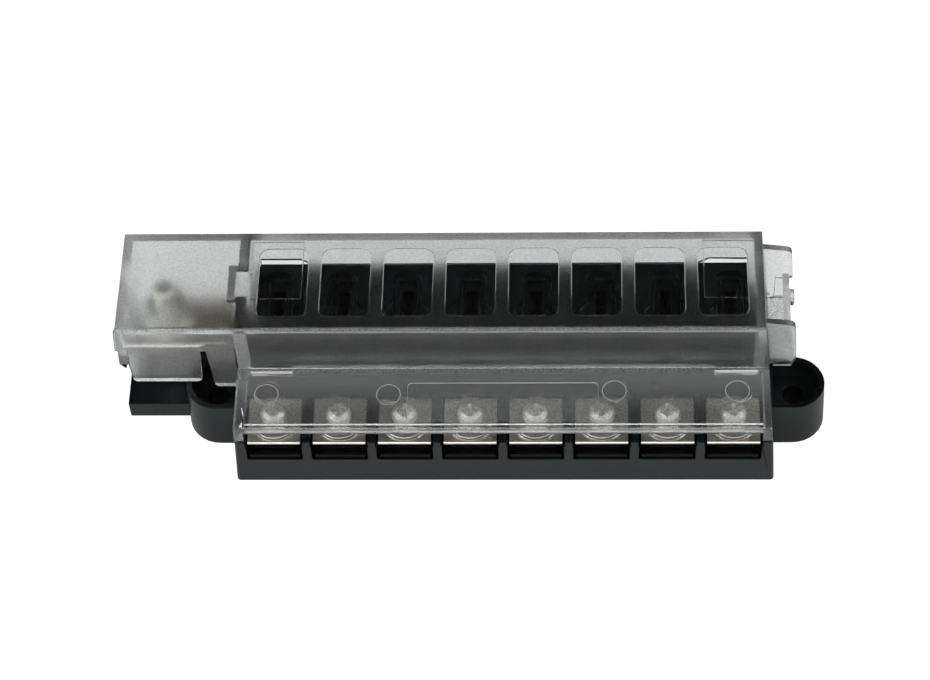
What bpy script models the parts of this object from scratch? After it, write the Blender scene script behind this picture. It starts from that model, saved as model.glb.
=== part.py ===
"""Eight-way blade fuse block: black moulded base, clear lift-off cover, screw terminals and a feed stud.

Run with: blender --background --python part.py, or from Blender's text editor.
Units are metres, +Z is up. The block's frame is an empty at the foot of the front wall, so every y below is a
distance back from that wall. The world origin is on the underside, midway between the two mounting holes.
"""

import math

import bmesh
import bpy

MM = 0.001

# Fits
GAP = 0.3 * MM  # between pieces that rest on each other
WALL_LAP = 1.0 * MM  # how far a joined shape reaches into its neighbour
FIT_STEP = 0.2 * MM  # small offset that keeps two nearby faces apart

# Ways
WAYS = 8
PITCH = 16.0 * MM

# Base moulding
END_WALL = 1.5 * MM  # outside the first and last way
BODY_WIDTH = WAYS * PITCH + 2 * END_WALL
BODY_SIDE = BODY_WIDTH / 2
BODY_DEPTH = 48.0 * MM
BODY_HEIGHT = 16.0 * MM
BODY_DRAFT = 0.8 * MM  # growth of the front and the sides, from top to foot
SIDE_CLEARANCE = 0.7 * MM  # from the top of the sides to the cover's lowest parts
BODY_CORNER = 0.9 * MM
DIVIDER = 2.4 * MM
BAY_WIDTH = PITCH - DIVIDER
BAY_REAR = 14.0 * MM
BAY_STEP = 0.3 * MM  # the dividers are this much slimmer above the plates, on each side
SEAT_HEIGHT = 13.7 * MM  # ledge under the terminal plates
WELL_FLOOR = 8.9 * MM
WELL_DEPTH = 3.0 * MM
NUT_POCKET_WIDTH = 9.8 * MM
NUT_POCKET_FLOOR = 9.6 * MM
CORE_RIB = 3.4 * MM  # web left between the hollows of the underside
CORE_FLOOR = 2.0 * MM  # thickness left above them

# Fuse tower
TOWER_WIDTH = BODY_WIDTH - 10.0 * MM
TOWER_FRONT = 20.3 * MM
TOWER_HEIGHT = 25.0 * MM
TOWER_CORNER = 1.2 * MM
TOWER_SETIN = 0.7 * MM  # from the rear of the body
SEAT_WIDTH = 7.0 * MM  # where the fuse's body sits
SEAT_LENGTH = 21.0 * MM
SEAT_DEPTH = 2.2 * MM
SEAT_REAR = BODY_DEPTH - 3.3 * MM
SEAT_MIDDLE = SEAT_REAR - SEAT_LENGTH / 2
SEAT_CORNER = 2.2 * MM
RECESS_WIDTH = 4.8 * MM  # step below the seat
RECESS_LENGTH = 19.2 * MM
RECESS_DEPTH = 1.4 * MM
RECESS_CORNER = 0.9 * MM
THROAT_WIDTH = 2.8 * MM  # slot that the blades pass
THROAT_LENGTH = 14.0 * MM
THROAT_DEPTH = 0.8 * MM
GRIP_WIDTH = 10.8 * MM  # finger notch across each seat
GRIP_LENGTH = 13.0 * MM
GRIP_DEPTH = 1.6 * MM
GRIP_FLARE = 2.6 * MM  # length over which it widens at each end
GRIP_SETOUT = 4.5 * MM  # in front of the seat's middle

# Ears
EAR_SPACING = BODY_WIDTH + 11.4 * MM
EAR_SETBACK = 18.6 * MM
EAR_RADIUS = 7.5 * MM
EAR_HEIGHT = 15.0 * MM
EAR_RIM = 1.4 * MM
EAR_DRAFT = 0.6 * MM  # growth of the outside, from top to foot
EAR_RECESS_DRAFT = 0.4 * MM
EAR_FLOOR = 9.5 * MM
EAR_HOLE_RADIUS = 2.6 * MM

# Bus bar
BAR_THICKNESS = 2.0 * MM
BAR_BOTTOM = 11.9 * MM
BAR_WIDTH = 8.0 * MM
BAR_FRONT = SEAT_MIDDLE + 0.4 * MM
TONGUE_REACH = 24.9 * MM  # from the side of the body
TONGUE_WIDTH = 13.0 * MM
TONGUE_CORNER = 1.5 * MM

# Feed stud and its hardware
STUD_X = -BODY_SIDE - 18.5 * MM
STUD_Y = BODY_DEPTH - 11.4 * MM
STUD_RADIUS = 2.95 * MM
STUD_TOP = 33.0 * MM
STUD_CHAMFER = 0.8 * MM
STUD_HEAD_RADIUS = 5.4 * MM
STUD_HEAD_HEIGHT = 3.5 * MM
STUD_HEAD_TOP = 7.0 * MM
STUD_WASHER_RADIUS = 6.0 * MM
STUD_WASHER_THICKNESS = 1.4 * MM
STUD_SPRING_RADIUS = 5.1 * MM
STUD_SPRING_THICKNESS = 1.5 * MM
NUT_ACROSS_FLATS = 10.0 * MM
NUT_HEIGHT = 6.0 * MM
NUT_FLANGE_RADIUS = 6.2 * MM
NUT_FLANGE_THICKNESS = 1.2 * MM

# Feed platform, left of the body
PLATFORM_LEFT = -BODY_SIDE - 29.0 * MM
PLATFORM_FRONT = 18.7 * MM
PLATFORM_HEIGHT = 5.5 * MM
PEDESTAL_LEFT = -BODY_SIDE - 25.5 * MM
PEDESTAL_FRONT = STUD_Y - 9.0 * MM
PEDESTAL_REAR = STUD_Y + 7.7 * MM

# Terminals
PLATE_WIDTH = BAY_WIDTH - 0.7 * MM
PLATE_THICKNESS = 1.0 * MM
PLATE_FRONT = 0.9 * MM
PLATE_LIP = 2.0 * MM  # how far the front edge is folded down
PLATE_REAR = 13.6 * MM
PLATE_CORNER = 0.5 * MM
PLATE_BEND = 0.8 * MM  # outside radius of the fold
CLIP_WIDTH = 4.2 * MM
CLIP_LENGTH = 5.0 * MM
CLIP_METAL = 0.5 * MM
CLIP_HEIGHT = 5.2 * MM  # above its foot
CLIP_THROAT = 0.6 * MM
CLIP_WAIST = 0.7  # where the throat is, as a share of the height
CLIP_INSET = 0.4 * MM  # from the ends of the blade slot
SCREW_Y = 7.5 * MM
SCREW_RADIUS = 1.75 * MM
SCREW_CHAMFER = 0.45 * MM
HOLE_CLEARANCE = 0.4 * MM
HEAD_RADIUS = 3.3 * MM
HEAD_HEIGHT = 2.1 * MM
HEAD_ROUNDING = ((1.0, 0.45), (0.88, 0.8), (0.55, 1.0))  # shares of the head's radius and height
CROSS_FLOOR = (1.0 * MM, 0.3 * MM)  # arm length and half width of the driver recess
CROSS_MOUTH = (2.4 * MM, 0.55 * MM)
CROSS_DEPTH = 1.5 * MM
WASHER_RADIUS = 5.6 * MM
WASHER_THICKNESS = 0.7 * MM
SPRING_RADIUS = 3.0 * MM
SPRING_THICKNESS = 0.7 * MM
SPLIT_ANGLE = 9  # degrees left open in each spring washer
CLAMP_NUT_LENGTH = 7.0 * MM
CLAMP_NUT_THICKNESS = 3.0 * MM

# Cover: the hood over the fuses
COVER_WALL = 2.0 * MM
REAR_WALL = 1.5 * MM
ROOF_TOP = 38.9 * MM
ROOF_THICKNESS = 1.9 * MM
COVER_FRONT = 17.9 * MM
COVER_REAR = BODY_DEPTH - 0.5 * MM
COVER_RIGHT = BODY_SIDE - 2.2 * MM
PARTITION_LEFT = 1.0 * MM - BODY_SIDE
SIDE_DRAFT = 0.09  # growth per unit of height, downwards
REAR_DRAFT = 0.035
PARTITION_DRAFT = 0.045
COVER_EDGE = 1.2 * MM
INSIDE_CORNER = 0.5 * MM
NOTCH_LENGTH = 10.0 * MM  # raised ends of the rear wall's lower edge
NOTCH_RISE = 2.3 * MM
NOTCH_SLANT = 3.0 * MM
WINDOW_PITCH = PITCH - 0.74 * MM
WINDOW_WIDTH = WINDOW_PITCH - 3.16 * MM
WINDOW_FRONT = 22.1 * MM
WINDOW_LENGTH = 20.1 * MM
WINDOW_DEPTH = 0.25 * MM
WINDOW_FRONT_CORNER = 1.7 * MM
WINDOW_REAR_CORNER = 2.4 * MM
INSERT_WIDTH = 12.4 * MM  # shallow step of the mould's corner inserts, under the roof
INSERT_FRONT = 28.0 * MM
INSERT_DEPTH = 0.15 * MM
JOG_LEFT = -BODY_SIDE - 1.4 * MM
JOG_FRONT = 26.9 * MM
JOG_LENGTH = 11.1 * MM
JOG_WALL = 1.8 * MM

# Cover: the flap over the terminals
FLAP_TOP = 22.0 * MM
FLAP_THICKNESS = 1.6 * MM
FLAP_FRONT = 0.65 * MM
LIP_HEIGHT = 2.5 * MM
LIP_EDGE = 0.5 * MM
FOOT_WIDTH = 2.4 * MM
ROOT_CHAMFER = 1.3 * MM
ROOT_SLOT_LENGTH = 10.4 * MM
ROOT_SLOT_WIDTH = 0.6 * MM
ROOT_SLOT_INSET = 3.5 * MM  # from the sides of the body
LABEL_WIDTH = 46.4 * MM
LABEL_FRONT = 2.9 * MM
LABEL_LENGTH = 11.0 * MM
LABEL_DEPTH = 0.3 * MM
LABEL_CORNER = 1.1 * MM
PIN_MARK_RADIUS = 3.1 * MM
PIN_MARK_INSETS = (8.0 * MM, 38.0 * MM)  # from the sides of the body
PIN_MARK_Y = 11.9 * MM
PIN_MARK_DEPTH = 0.2 * MM

# Cover: the hood over the feed stud
FEED_LENGTH = 27.9 * MM  # from the side of the body
FEED_WALL_BOTTOM = 15.5 * MM
UPPER_WALL_BOTTOM = 31.6 * MM
SIDE_ENTRY_TOP = 24.2 * MM
SIDE_ENTRY_LENGTH = 6.0 * MM
PAD_REACH = (0.4 * MM, 0.8 * MM)  # from the wall, at the pad's top and at its bottom
PAD_BOTTOM = 29.7 * MM
PAD_LENGTH = 1.4 * MM
SKIRT_THICKNESS = 1.2 * MM
SKIRT_SETBACK = 0.4 * MM
SKIRT_CORNER = 1.2 * MM
LEFT_SKIRT_BOTTOM = 16.2 * MM
LEFT_SKIRT_REACH = 0.8 * MM  # beyond the hood's inner corner, at the side entry's top
LEFT_SKIRT_TAPER = 0.5 * MM
RIGHT_SKIRT_BOTTOM = 14.0 * MM
SPLIT_LEFT = BODY_SIDE + 9.1 * MM  # lower end of the gap between the skirts, left of the middle
SPLIT_RIGHT = BODY_SIDE + 6.0 * MM
SPLIT_TAPER = 0.85 * MM
SPLIT_TOP = 29.3 * MM
SPLIT_CORNER = 0.4 * MM

# Cover: the open shroud at the right end
FRONT_WING_TOP = 32.7 * MM  # at the outer edge
REAR_WING_TOP = 35.2 * MM
WING_SLOPE = 1.3 * MM  # rise of both tops towards the hood
REAR_WING_BOTTOM = 14.7 * MM
WING_RIGHT = BODY_SIDE + 5.2 * MM  # at the rear wing's top
WING_DRAFT = 0.065  # growth per unit of height, downwards
WING_WALL = 1.6 * MM
WING_WEB = 0.8 * MM  # thin lower part of the rear wing
WING_FRONT = 23.1 * MM
WING_REAR = BODY_DEPTH - 2.9 * MM
WING_SIDE_TOP = 24.0 * MM
WING_CORNER = 1.8 * MM
WING_CHAMFER = (1.45 * MM, 3.4 * MM)  # width and height of the cut lower corner
TIE_INSET = 1.0 * MM  # from the wings' outer edges to the tie between them
CATCH_REACH = 1.2 * MM  # from the tie
CATCH_SETBACK = 14.2 * MM  # behind the front wing
CATCH_SIZE = 3.0 * MM

CUTTERS = bpy.data.collections.new("cutters")


def clear_scene():
    for obj in list(bpy.data.objects):
        bpy.data.objects.remove(obj, do_unlink=True)
    bpy.context.scene.collection.children.link(CUTTERS)


def make_frame():
    """The empty that carries every piece, at the foot of the front wall."""
    frame = bpy.data.objects.new("block_frame", None)
    frame.location = (0, -EAR_SETBACK, 0)
    bpy.context.scene.collection.objects.link(frame)
    return frame


def material(name, colour, roughness, metallic=0.0, transmission=0.0):
    made = bpy.data.materials.new(name)
    made.use_nodes = True
    shader = made.node_tree.nodes["Principled BSDF"]
    shader.inputs["Base Color"].default_value = (*colour, 1)
    shader.inputs["Roughness"].default_value = roughness
    shader.inputs["Metallic"].default_value = metallic
    shader.inputs["Transmission Weight"].default_value = transmission
    return made


def arc(centre, radius, start, end, segments):
    """Points along a circle from one angle to another, both ends included."""
    steps = [start + (end - start) * i / segments for i in range(segments + 1)]
    return [(centre[0] + radius * math.cos(a), centre[1] + radius * math.sin(a)) for a in steps]


def circle(centre, radius, sides):
    return arc(centre, radius, 0, math.tau, sides)[:-1]


def rounded(corners, segments=3):
    """An outline from (u, v, radius) corners, each corner turned into an arc tangent to its two sides."""
    outline = []
    for i, (u, v, radius) in enumerate(corners):
        if radius == 0:
            outline.append((u, v))
            continue
        before, after = corners[i - 1], corners[(i + 1) % len(corners)]
        to_before = math.atan2(before[1] - v, before[0] - u)
        to_after = math.atan2(after[1] - v, after[0] - u)
        turn = (to_after - to_before + math.pi) % math.tau - math.pi
        reach = radius / math.sin(abs(turn) / 2)
        middle = to_before + turn / 2
        centre = (u + reach * math.cos(middle), v + reach * math.sin(middle))
        side = math.copysign(math.pi / 2, turn)
        start, end = to_before - side, to_after + side
        sweep = (end - start + math.pi) % math.tau - math.pi
        outline += arc(centre, radius, start, start + sweep, segments)
    return outline


def rectangle(u0, u1, v0, v1, radius=0.0, segments=3):
    return rounded([(u0, v0, radius), (u1, v0, radius), (u1, v1, radius), (u0, v1, radius)], segments)


def mesh_object(name, bm, helper):
    """Closes a bmesh into an object. A helper is a cutter or a shape to join, and isn't a piece."""
    bmesh.ops.recalc_face_normals(bm, faces=bm.faces[:])
    mesh = bpy.data.meshes.new(name)
    bm.to_mesh(mesh)
    bm.free()
    obj = bpy.data.objects.new(name, mesh)
    obj.parent = FRAME
    if helper:
        obj.hide_render = True
        obj.display_type = "WIRE"
        CUTTERS.objects.link(obj)
    else:
        bpy.context.scene.collection.objects.link(obj)
    return obj


def skin(name, stacks, helper=True):
    """One object from stacks of sections. Each stack bridges its sections in order and caps both ends."""
    bm = bmesh.new()
    for sections in stacks:
        rings = [[bm.verts.new(point) for point in section] for section in sections]
        for lower, upper in zip(rings, rings[1:]):
            for i in range(len(lower)):
                bm.faces.new((lower[i - 1], lower[i], upper[i], upper[i - 1]))
        bm.faces.new(rings[0])
        bm.faces.new(rings[-1])
    return mesh_object(name, bm, helper)


def up(outline, *heights):
    """Sections of an outline in x and y, one for each height."""
    return [[(x, y, z) for x, y in outline] for z in heights]


def along_x(outline, left, right):
    """Sections of an outline in y and z between two ends, each a function of height."""
    return [[(end(z), y, z) for y, z in outline] for end in (left, right)]


def along_y(outline, front, back):
    return [[(x, y, z) for x, z in outline] for y in (front, back)]


def box(x0, x1, y0, y1, z0, z1):
    return up(rectangle(x0, x1, y0, y1), z0, z1)


def turned(name, profile, sides, helper=False):
    """A closed (radius, height) profile spun about Z. Every radius is above zero, so the piece has a bore."""
    bm = bmesh.new()
    rings = [[bm.verts.new((x, y, z)) for x, y in circle((0, 0), radius, sides)] for radius, z in profile]
    for i, ring in enumerate(rings):
        inner = rings[i - 1]
        for j in range(sides):
            bm.faces.new((inner[j - 1], inner[j], ring[j], ring[j - 1]))
    return mesh_object(name, bm, helper)


def boolean(target, other, operation):
    step = target.modifiers.new(other.name, "BOOLEAN")
    step.operation = operation
    step.solver = "EXACT"
    step.object = other


def cut(target, name, stacks):
    boolean(target, skin(name, stacks), "DIFFERENCE")


def join(target, name, stacks):
    boolean(target, skin(name, stacks), "UNION")


def finish(obj, finish_material, angle=35):
    """Gives a piece its material, and smooths faces that meet at less than the angle."""
    obj.data.materials.clear()
    obj.data.materials.append(finish_material)
    obj.data.shade_smooth()
    obj.data.set_sharp_from_angle(angle=math.radians(angle))
    return obj


def way_places():
    """The x of each fuse way, left to right."""
    return [(i - (WAYS - 1) / 2) * PITCH for i in range(WAYS)]


def clip_fronts():
    """Front end of the terminal's clip and of the input clip, one under each end of the blade slot."""
    front = SEAT_MIDDLE - THROAT_LENGTH / 2 + CLIP_INSET
    return front, SEAT_MIDDLE + THROAT_LENGTH / 2 - CLIP_INSET - CLIP_LENGTH


def ear_outline(side, radius, inner_x):
    """A tongue that leaves the body sideways and ends in a half circle about the mounting hole."""
    centre = (side * EAR_SPACING / 2, EAR_SETBACK)
    middle = 0 if side > 0 else math.pi
    tip = arc(centre, radius, middle - math.pi / 2, middle + math.pi / 2, 16)
    return [(inner_x, tip[0][1])] + tip + [(inner_x, tip[-1][1])]


def base_shell():
    """The drafted body block, with its tower, ears and feed platform joined on."""
    wide = BODY_SIDE + BODY_DRAFT
    foot = rectangle(-wide, wide, -BODY_DRAFT / 2, BODY_DEPTH, BODY_CORNER)
    head = rectangle(-BODY_SIDE, BODY_SIDE, BODY_DRAFT / 2, BODY_DEPTH, BODY_CORNER)
    sections = [[(x, y, 0) for x, y in foot], [(x, y, BODY_HEIGHT) for x, y in head]]
    base = skin("base_housing", [sections], helper=False)

    sunk = BODY_HEIGHT - WALL_LAP
    rear = BODY_DEPTH - TOWER_SETIN
    tower = rounded([
        (TOWER_FRONT, sunk, 0), (rear, sunk, 0),
        (rear, TOWER_HEIGHT, 0), (TOWER_FRONT, TOWER_HEIGHT, TOWER_CORNER),
    ])
    join(base, "tower_shape", [along_x(tower, lambda z: -TOWER_WIDTH / 2, lambda z: TOWER_WIDTH / 2)])

    inner = WALL_LAP - BODY_SIDE
    platform = box(PLATFORM_LEFT, inner, PLATFORM_FRONT, rear, 0, PLATFORM_HEIGHT)
    pedestal = box(PEDESTAL_LEFT, inner, PEDESTAL_FRONT, PEDESTAL_REAR,
                   PLATFORM_HEIGHT - WALL_LAP, BAR_BOTTOM - GAP)
    join(base, "platform_shape", [platform])
    join(base, "pedestal_shape", [pedestal])
    for side in (-1, 1):
        name = "left_ear" if side < 0 else "right_ear"
        inner = side * (BODY_SIDE - WALL_LAP)
        foot = ear_outline(side, EAR_RADIUS + EAR_DRAFT, inner)
        rim = ear_outline(side, EAR_RADIUS, inner)
        join(base, name + "_shape", [[[(x, y, 0) for x, y in foot], [(x, y, EAR_HEIGHT) for x, y in rim]]])
        inner = side * (BODY_SIDE + BODY_DRAFT / 2)
        mouth = ear_outline(side, EAR_RADIUS - EAR_RIM, inner)
        floor = ear_outline(side, EAR_RADIUS - EAR_RIM - EAR_RECESS_DRAFT, inner)
        sections = [[(x, y, EAR_FLOOR) for x, y in floor], [(x, y, EAR_HEIGHT + WALL_LAP) for x, y in mouth]]
        cut(base, name + "_recess", [sections])
        hole = circle((side * EAR_SPACING / 2, EAR_SETBACK), EAR_HOLE_RADIUS, 24)
        cut(base, name + "_hole", [up(hole, -WALL_LAP, EAR_FLOOR + WALL_LAP)])
    return base


def cut_bays(base):
    """The open front of each way: a well for the folded lip, the plate's seat and the nut's pocket."""
    half = BAY_WIDTH / 2
    above = BODY_HEIGHT + WALL_LAP
    bay = [
        (-WALL_LAP, WELL_FLOOR), (WELL_DEPTH, WELL_FLOOR), (WELL_DEPTH, SEAT_HEIGHT),
        (BAY_REAR, SEAT_HEIGHT), (BAY_REAR, above), (-WALL_LAP, above),
    ]
    places = way_places()
    cut(base, "bays", [along_x(bay, lambda z, x=x: x - half, lambda z, x=x: x + half) for x in places])
    wide, rear = half + BAY_STEP, BAY_REAR - BAY_STEP
    relief = SEAT_HEIGHT + BAY_STEP
    cut(base, "bay_reliefs", [box(x - wide, x + wide, -WALL_LAP, rear, relief, above) for x in places])
    pocket = NUT_POCKET_WIDTH / 2
    front = WELL_DEPTH - WALL_LAP
    rear = SCREW_Y + CLAMP_NUT_LENGTH / 2 + GAP
    top = SEAT_HEIGHT + GAP
    pockets = [box(x - pocket, x + pocket, front, rear, NUT_POCKET_FLOOR, top) for x in places]
    cut(base, "nut_pockets", pockets)


def centred(x, y, width, length, radius=0.0, segments=3):
    return rectangle(x - width / 2, x + width / 2, y - length / 2, y + length / 2, radius, segments)


def grip_outline(x):
    """The finger notch: wide along the middle of a seat, and flared down to the seat's width at its ends."""
    near, far = SEAT_WIDTH / 2 - FIT_STEP, GRIP_WIDTH / 2
    end, shoulder = GRIP_LENGTH / 2, GRIP_LENGTH / 2 - GRIP_FLARE
    half = [(near, -end), (far, -shoulder), (far, shoulder), (near, end)]
    middle = SEAT_MIDDLE - GRIP_SETOUT
    return [(x + u, middle + v) for u, v in half] + [(x - u, middle - v) for u, v in half]


def cut_sockets(base):
    """Under each window: the fuse's seat, a step, the slot for its blades, and the two clips' chamber."""
    places = way_places()
    seat_floor = TOWER_HEIGHT - SEAT_DEPTH
    recess_floor = seat_floor - RECESS_DEPTH
    chamber_top = recess_floor - THROAT_DEPTH
    passage_top = SEAT_HEIGHT + PLATE_THICKNESS + 2 * GAP
    passage_rear = SEAT_MIDDLE - THROAT_LENGTH / 2 + WALL_LAP
    passage_half = CLIP_WIDTH / 2 + GAP
    seats, grips, recesses, throats, chambers, passages = [], [], [], [], [], []
    for x in places:
        seat = centred(x, SEAT_MIDDLE, SEAT_WIDTH, SEAT_LENGTH, SEAT_CORNER, 4)
        seats.append(up(seat, seat_floor, TOWER_HEIGHT + WALL_LAP))
        grips.append(up(grip_outline(x), TOWER_HEIGHT - GRIP_DEPTH, TOWER_HEIGHT + WALL_LAP))
        recess = centred(x, SEAT_MIDDLE, RECESS_WIDTH, RECESS_LENGTH, RECESS_CORNER)
        recesses.append(up(recess, recess_floor, TOWER_HEIGHT))
        throat = centred(x, SEAT_MIDDLE, THROAT_WIDTH, THROAT_LENGTH)
        throats.append(up(throat, SEAT_HEIGHT + WALL_LAP, TOWER_HEIGHT))
        chamber = centred(x, SEAT_MIDDLE, 2 * passage_half, THROAT_LENGTH + 2 * GAP)
        chambers.append(up(chamber, SEAT_HEIGHT, chamber_top))
        passages.append(box(x - passage_half + FIT_STEP / 2, x + passage_half - FIT_STEP / 2,
                            BAY_REAR - WALL_LAP, passage_rear, SEAT_HEIGHT, passage_top))
    cut(base, "fuse_seats", seats)
    cut(base, "finger_grips", grips)
    cut(base, "seat_recesses", recesses)
    cut(base, "blade_slots", throats)
    cut(base, "clip_chambers", chambers)
    cut(base, "strip_passages", passages)
    tunnel = box(-BODY_SIDE - 4 * WALL_LAP, bar_right() + GAP, BAR_FRONT - GAP,
                 BAR_FRONT + BAR_WIDTH + GAP, BAR_BOTTOM - GAP, BAR_BOTTOM + BAR_THICKNESS + GAP)
    cut(base, "bar_tunnel", [tunnel])


def cut_underside(base):
    """Moulding hollows under each way, and the pocket and bore of the feed stud."""
    half = (PITCH - CORE_RIB) / 2
    hollows = []
    for x in way_places():
        front_top = min(NUT_POCKET_FLOOR, WELL_FLOOR) - CORE_FLOOR
        hollows.append(box(x - half, x + half, CORE_FLOOR, BAY_REAR - CORE_RIB, -WALL_LAP, front_top))
        rear_top = BAR_BOTTOM - GAP - CORE_FLOOR
        hollows.append(box(x - half, x + half, BAY_REAR + CORE_RIB, BODY_DEPTH - CORE_RIB,
                           -WALL_LAP, rear_top))
    cut(base, "underside_hollows", hollows)
    pocket = circle((STUD_X, STUD_Y), STUD_HEAD_RADIUS + GAP, 24)
    cut(base, "stud_pocket", [up(pocket, -WALL_LAP, STUD_HEAD_TOP + GAP)])
    bore = circle((STUD_X, STUD_Y), STUD_RADIUS + GAP, 24)
    cut(base, "stud_bore", [up(bore, STUD_HEAD_TOP, BAR_BOTTOM + WALL_LAP)])


def make_base(black):
    base = base_shell()
    cut_bays(base)
    cut_sockets(base)
    cut_underside(base)
    finish(settle(base), black)


def bar_right():
    """Right end of the bus bar, just past the last way's clip."""
    return way_places()[-1] + CLIP_WIDTH / 2 + GAP


def make_bus_bar(brass):
    """One flat bar: a wide tongue round the stud, and a strip under all the input clips."""
    tongue_front, tongue_rear = STUD_Y - TONGUE_WIDTH / 2, STUD_Y + TONGUE_WIDTH / 2
    shoulder, left = -BODY_SIDE - 2 * WALL_LAP, -BODY_SIDE - TONGUE_REACH
    rear = BAR_FRONT + BAR_WIDTH
    outline = rounded([
        (left, tongue_front, TONGUE_CORNER), (shoulder, tongue_front, TONGUE_CORNER / 2),
        (shoulder, BAR_FRONT, 0),
        (bar_right(), BAR_FRONT, 0), (bar_right(), rear, 0), (shoulder, rear, 0),
        (shoulder, tongue_rear, 0), (left, tongue_rear, TONGUE_CORNER),
    ])
    bar = skin("bus_bar", [up(outline, BAR_BOTTOM, BAR_BOTTOM + BAR_THICKNESS)], helper=False)
    hole = circle((STUD_X, STUD_Y), STUD_RADIUS + GAP, 24)
    cut(bar, "bar_hole", [up(hole, BAR_BOTTOM - WALL_LAP, BAR_BOTTOM + BAR_THICKNESS + WALL_LAP)])
    finish(settle(bar), brass)


def clip_outline(foot, plate_top):
    """Two spring fingers that lean together at the throat and open again at the tip, on a common foot."""
    outer = CLIP_WIDTH / 2
    throat = CLIP_THROAT / 2
    waist = plate_top + CLIP_WAIST * CLIP_HEIGHT
    tip = plate_top + CLIP_HEIGHT
    flare = 2 * CLIP_METAL
    right = [
        (outer, foot), (outer, plate_top), (throat + CLIP_METAL, waist), (throat + CLIP_METAL + flare, tip),
        (throat + flare, tip), (throat, waist), (outer - CLIP_METAL, plate_top),
    ]
    return right + [(-x, z) for x, z in reversed(right)]


def make_terminals(nickel):
    """Each output strip is folded from one piece: front lip, clamp plate, tongue and fuse clip."""
    bottom = SEAT_HEIGHT + GAP
    top = bottom + PLATE_THICKNESS
    clip_front = clip_fronts()[0]
    clip_rear = clip_front + CLIP_LENGTH
    half, narrow = PLATE_WIDTH / 2, CLIP_WIDTH / 2
    lip_inner = PLATE_FRONT + PLATE_THICKNESS
    plan = rounded([
        (-half, lip_inner, 0), (half, lip_inner, 0), (half, PLATE_REAR, PLATE_CORNER),
        (narrow, PLATE_REAR, 0), (narrow, clip_rear, 0), (-narrow, clip_rear, 0),
        (-narrow, PLATE_REAR, 0), (-half, PLATE_REAR, PLATE_CORNER),
    ])
    strip = skin("terminal_strip_1", [up(plan, bottom, top)], helper=False)
    lip = rounded([
        (PLATE_FRONT, top - PLATE_LIP, 0), (lip_inner, top - PLATE_LIP, 0), (lip_inner, bottom, 0),
        (lip_inner + WALL_LAP, bottom, 0), (lip_inner + WALL_LAP, top, 0), (PLATE_FRONT, top, PLATE_BEND),
    ])
    join(strip, "lip_shape", [along_x(lip, lambda z: -half, lambda z: half)])
    join(strip, "clip_shape", [along_y(clip_outline(bottom, top), clip_front, clip_rear)])
    hole = circle((0, SCREW_Y), SCREW_RADIUS + HOLE_CLEARANCE, 16)
    cut(strip, "plate_hole", [up(hole, bottom - WALL_LAP, top + WALL_LAP)])
    repeat(finish(settle(strip), nickel), "terminal_strip")


def make_input_clips(brass):
    bottom = BAR_BOTTOM + BAR_THICKNESS + GAP
    top = SEAT_HEIGHT + GAP + PLATE_THICKNESS
    front = clip_fronts()[1]
    clip = along_y(clip_outline(bottom, top), front, front + CLIP_LENGTH)
    clip = skin("input_clip_1", [clip], helper=False)
    repeat(finish(clip, brass), "input_clip")


def repeat(first, stem):
    """Places the first of a set at the first way, and copies that share its mesh at the others."""
    for number, x in enumerate(way_places(), 1):
        obj = first if number == 1 else bpy.data.objects.new(f"{stem}_{number}", first.data)
        if number > 1:
            obj.parent = FRAME
            bpy.context.scene.collection.objects.link(obj)
        obj.location = (x, first.location.y, first.location.z)


def spindle(name, profile, sides, centre=(0, 0)):
    """A solid turned piece from (radius, height) steps, bottom to top."""
    sections = [[(x, y, z) for x, y in circle(centre, radius, sides)] for radius, z in profile]
    return skin(name, [sections], helper=False)


def ring_profile(inner, outer, thickness):
    return [(inner, 0), (outer, 0), (outer, thickness), (inner, thickness)]


def split_ring(name, inner, outer, thickness, segments):
    """A spring washer: a ring with one narrow gap."""
    gap = math.radians(SPLIT_ANGLE)
    sections = []
    for i in range(segments + 1):
        angle = gap / 2 + (math.tau - gap) * i / segments
        corners = ring_profile(inner, outer, thickness)
        sections.append([(r * math.cos(angle), r * math.sin(angle), z) for r, z in corners])
    return skin(name, [sections], helper=False)


def plate_top():
    return SEAT_HEIGHT + GAP + PLATE_THICKNESS


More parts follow.
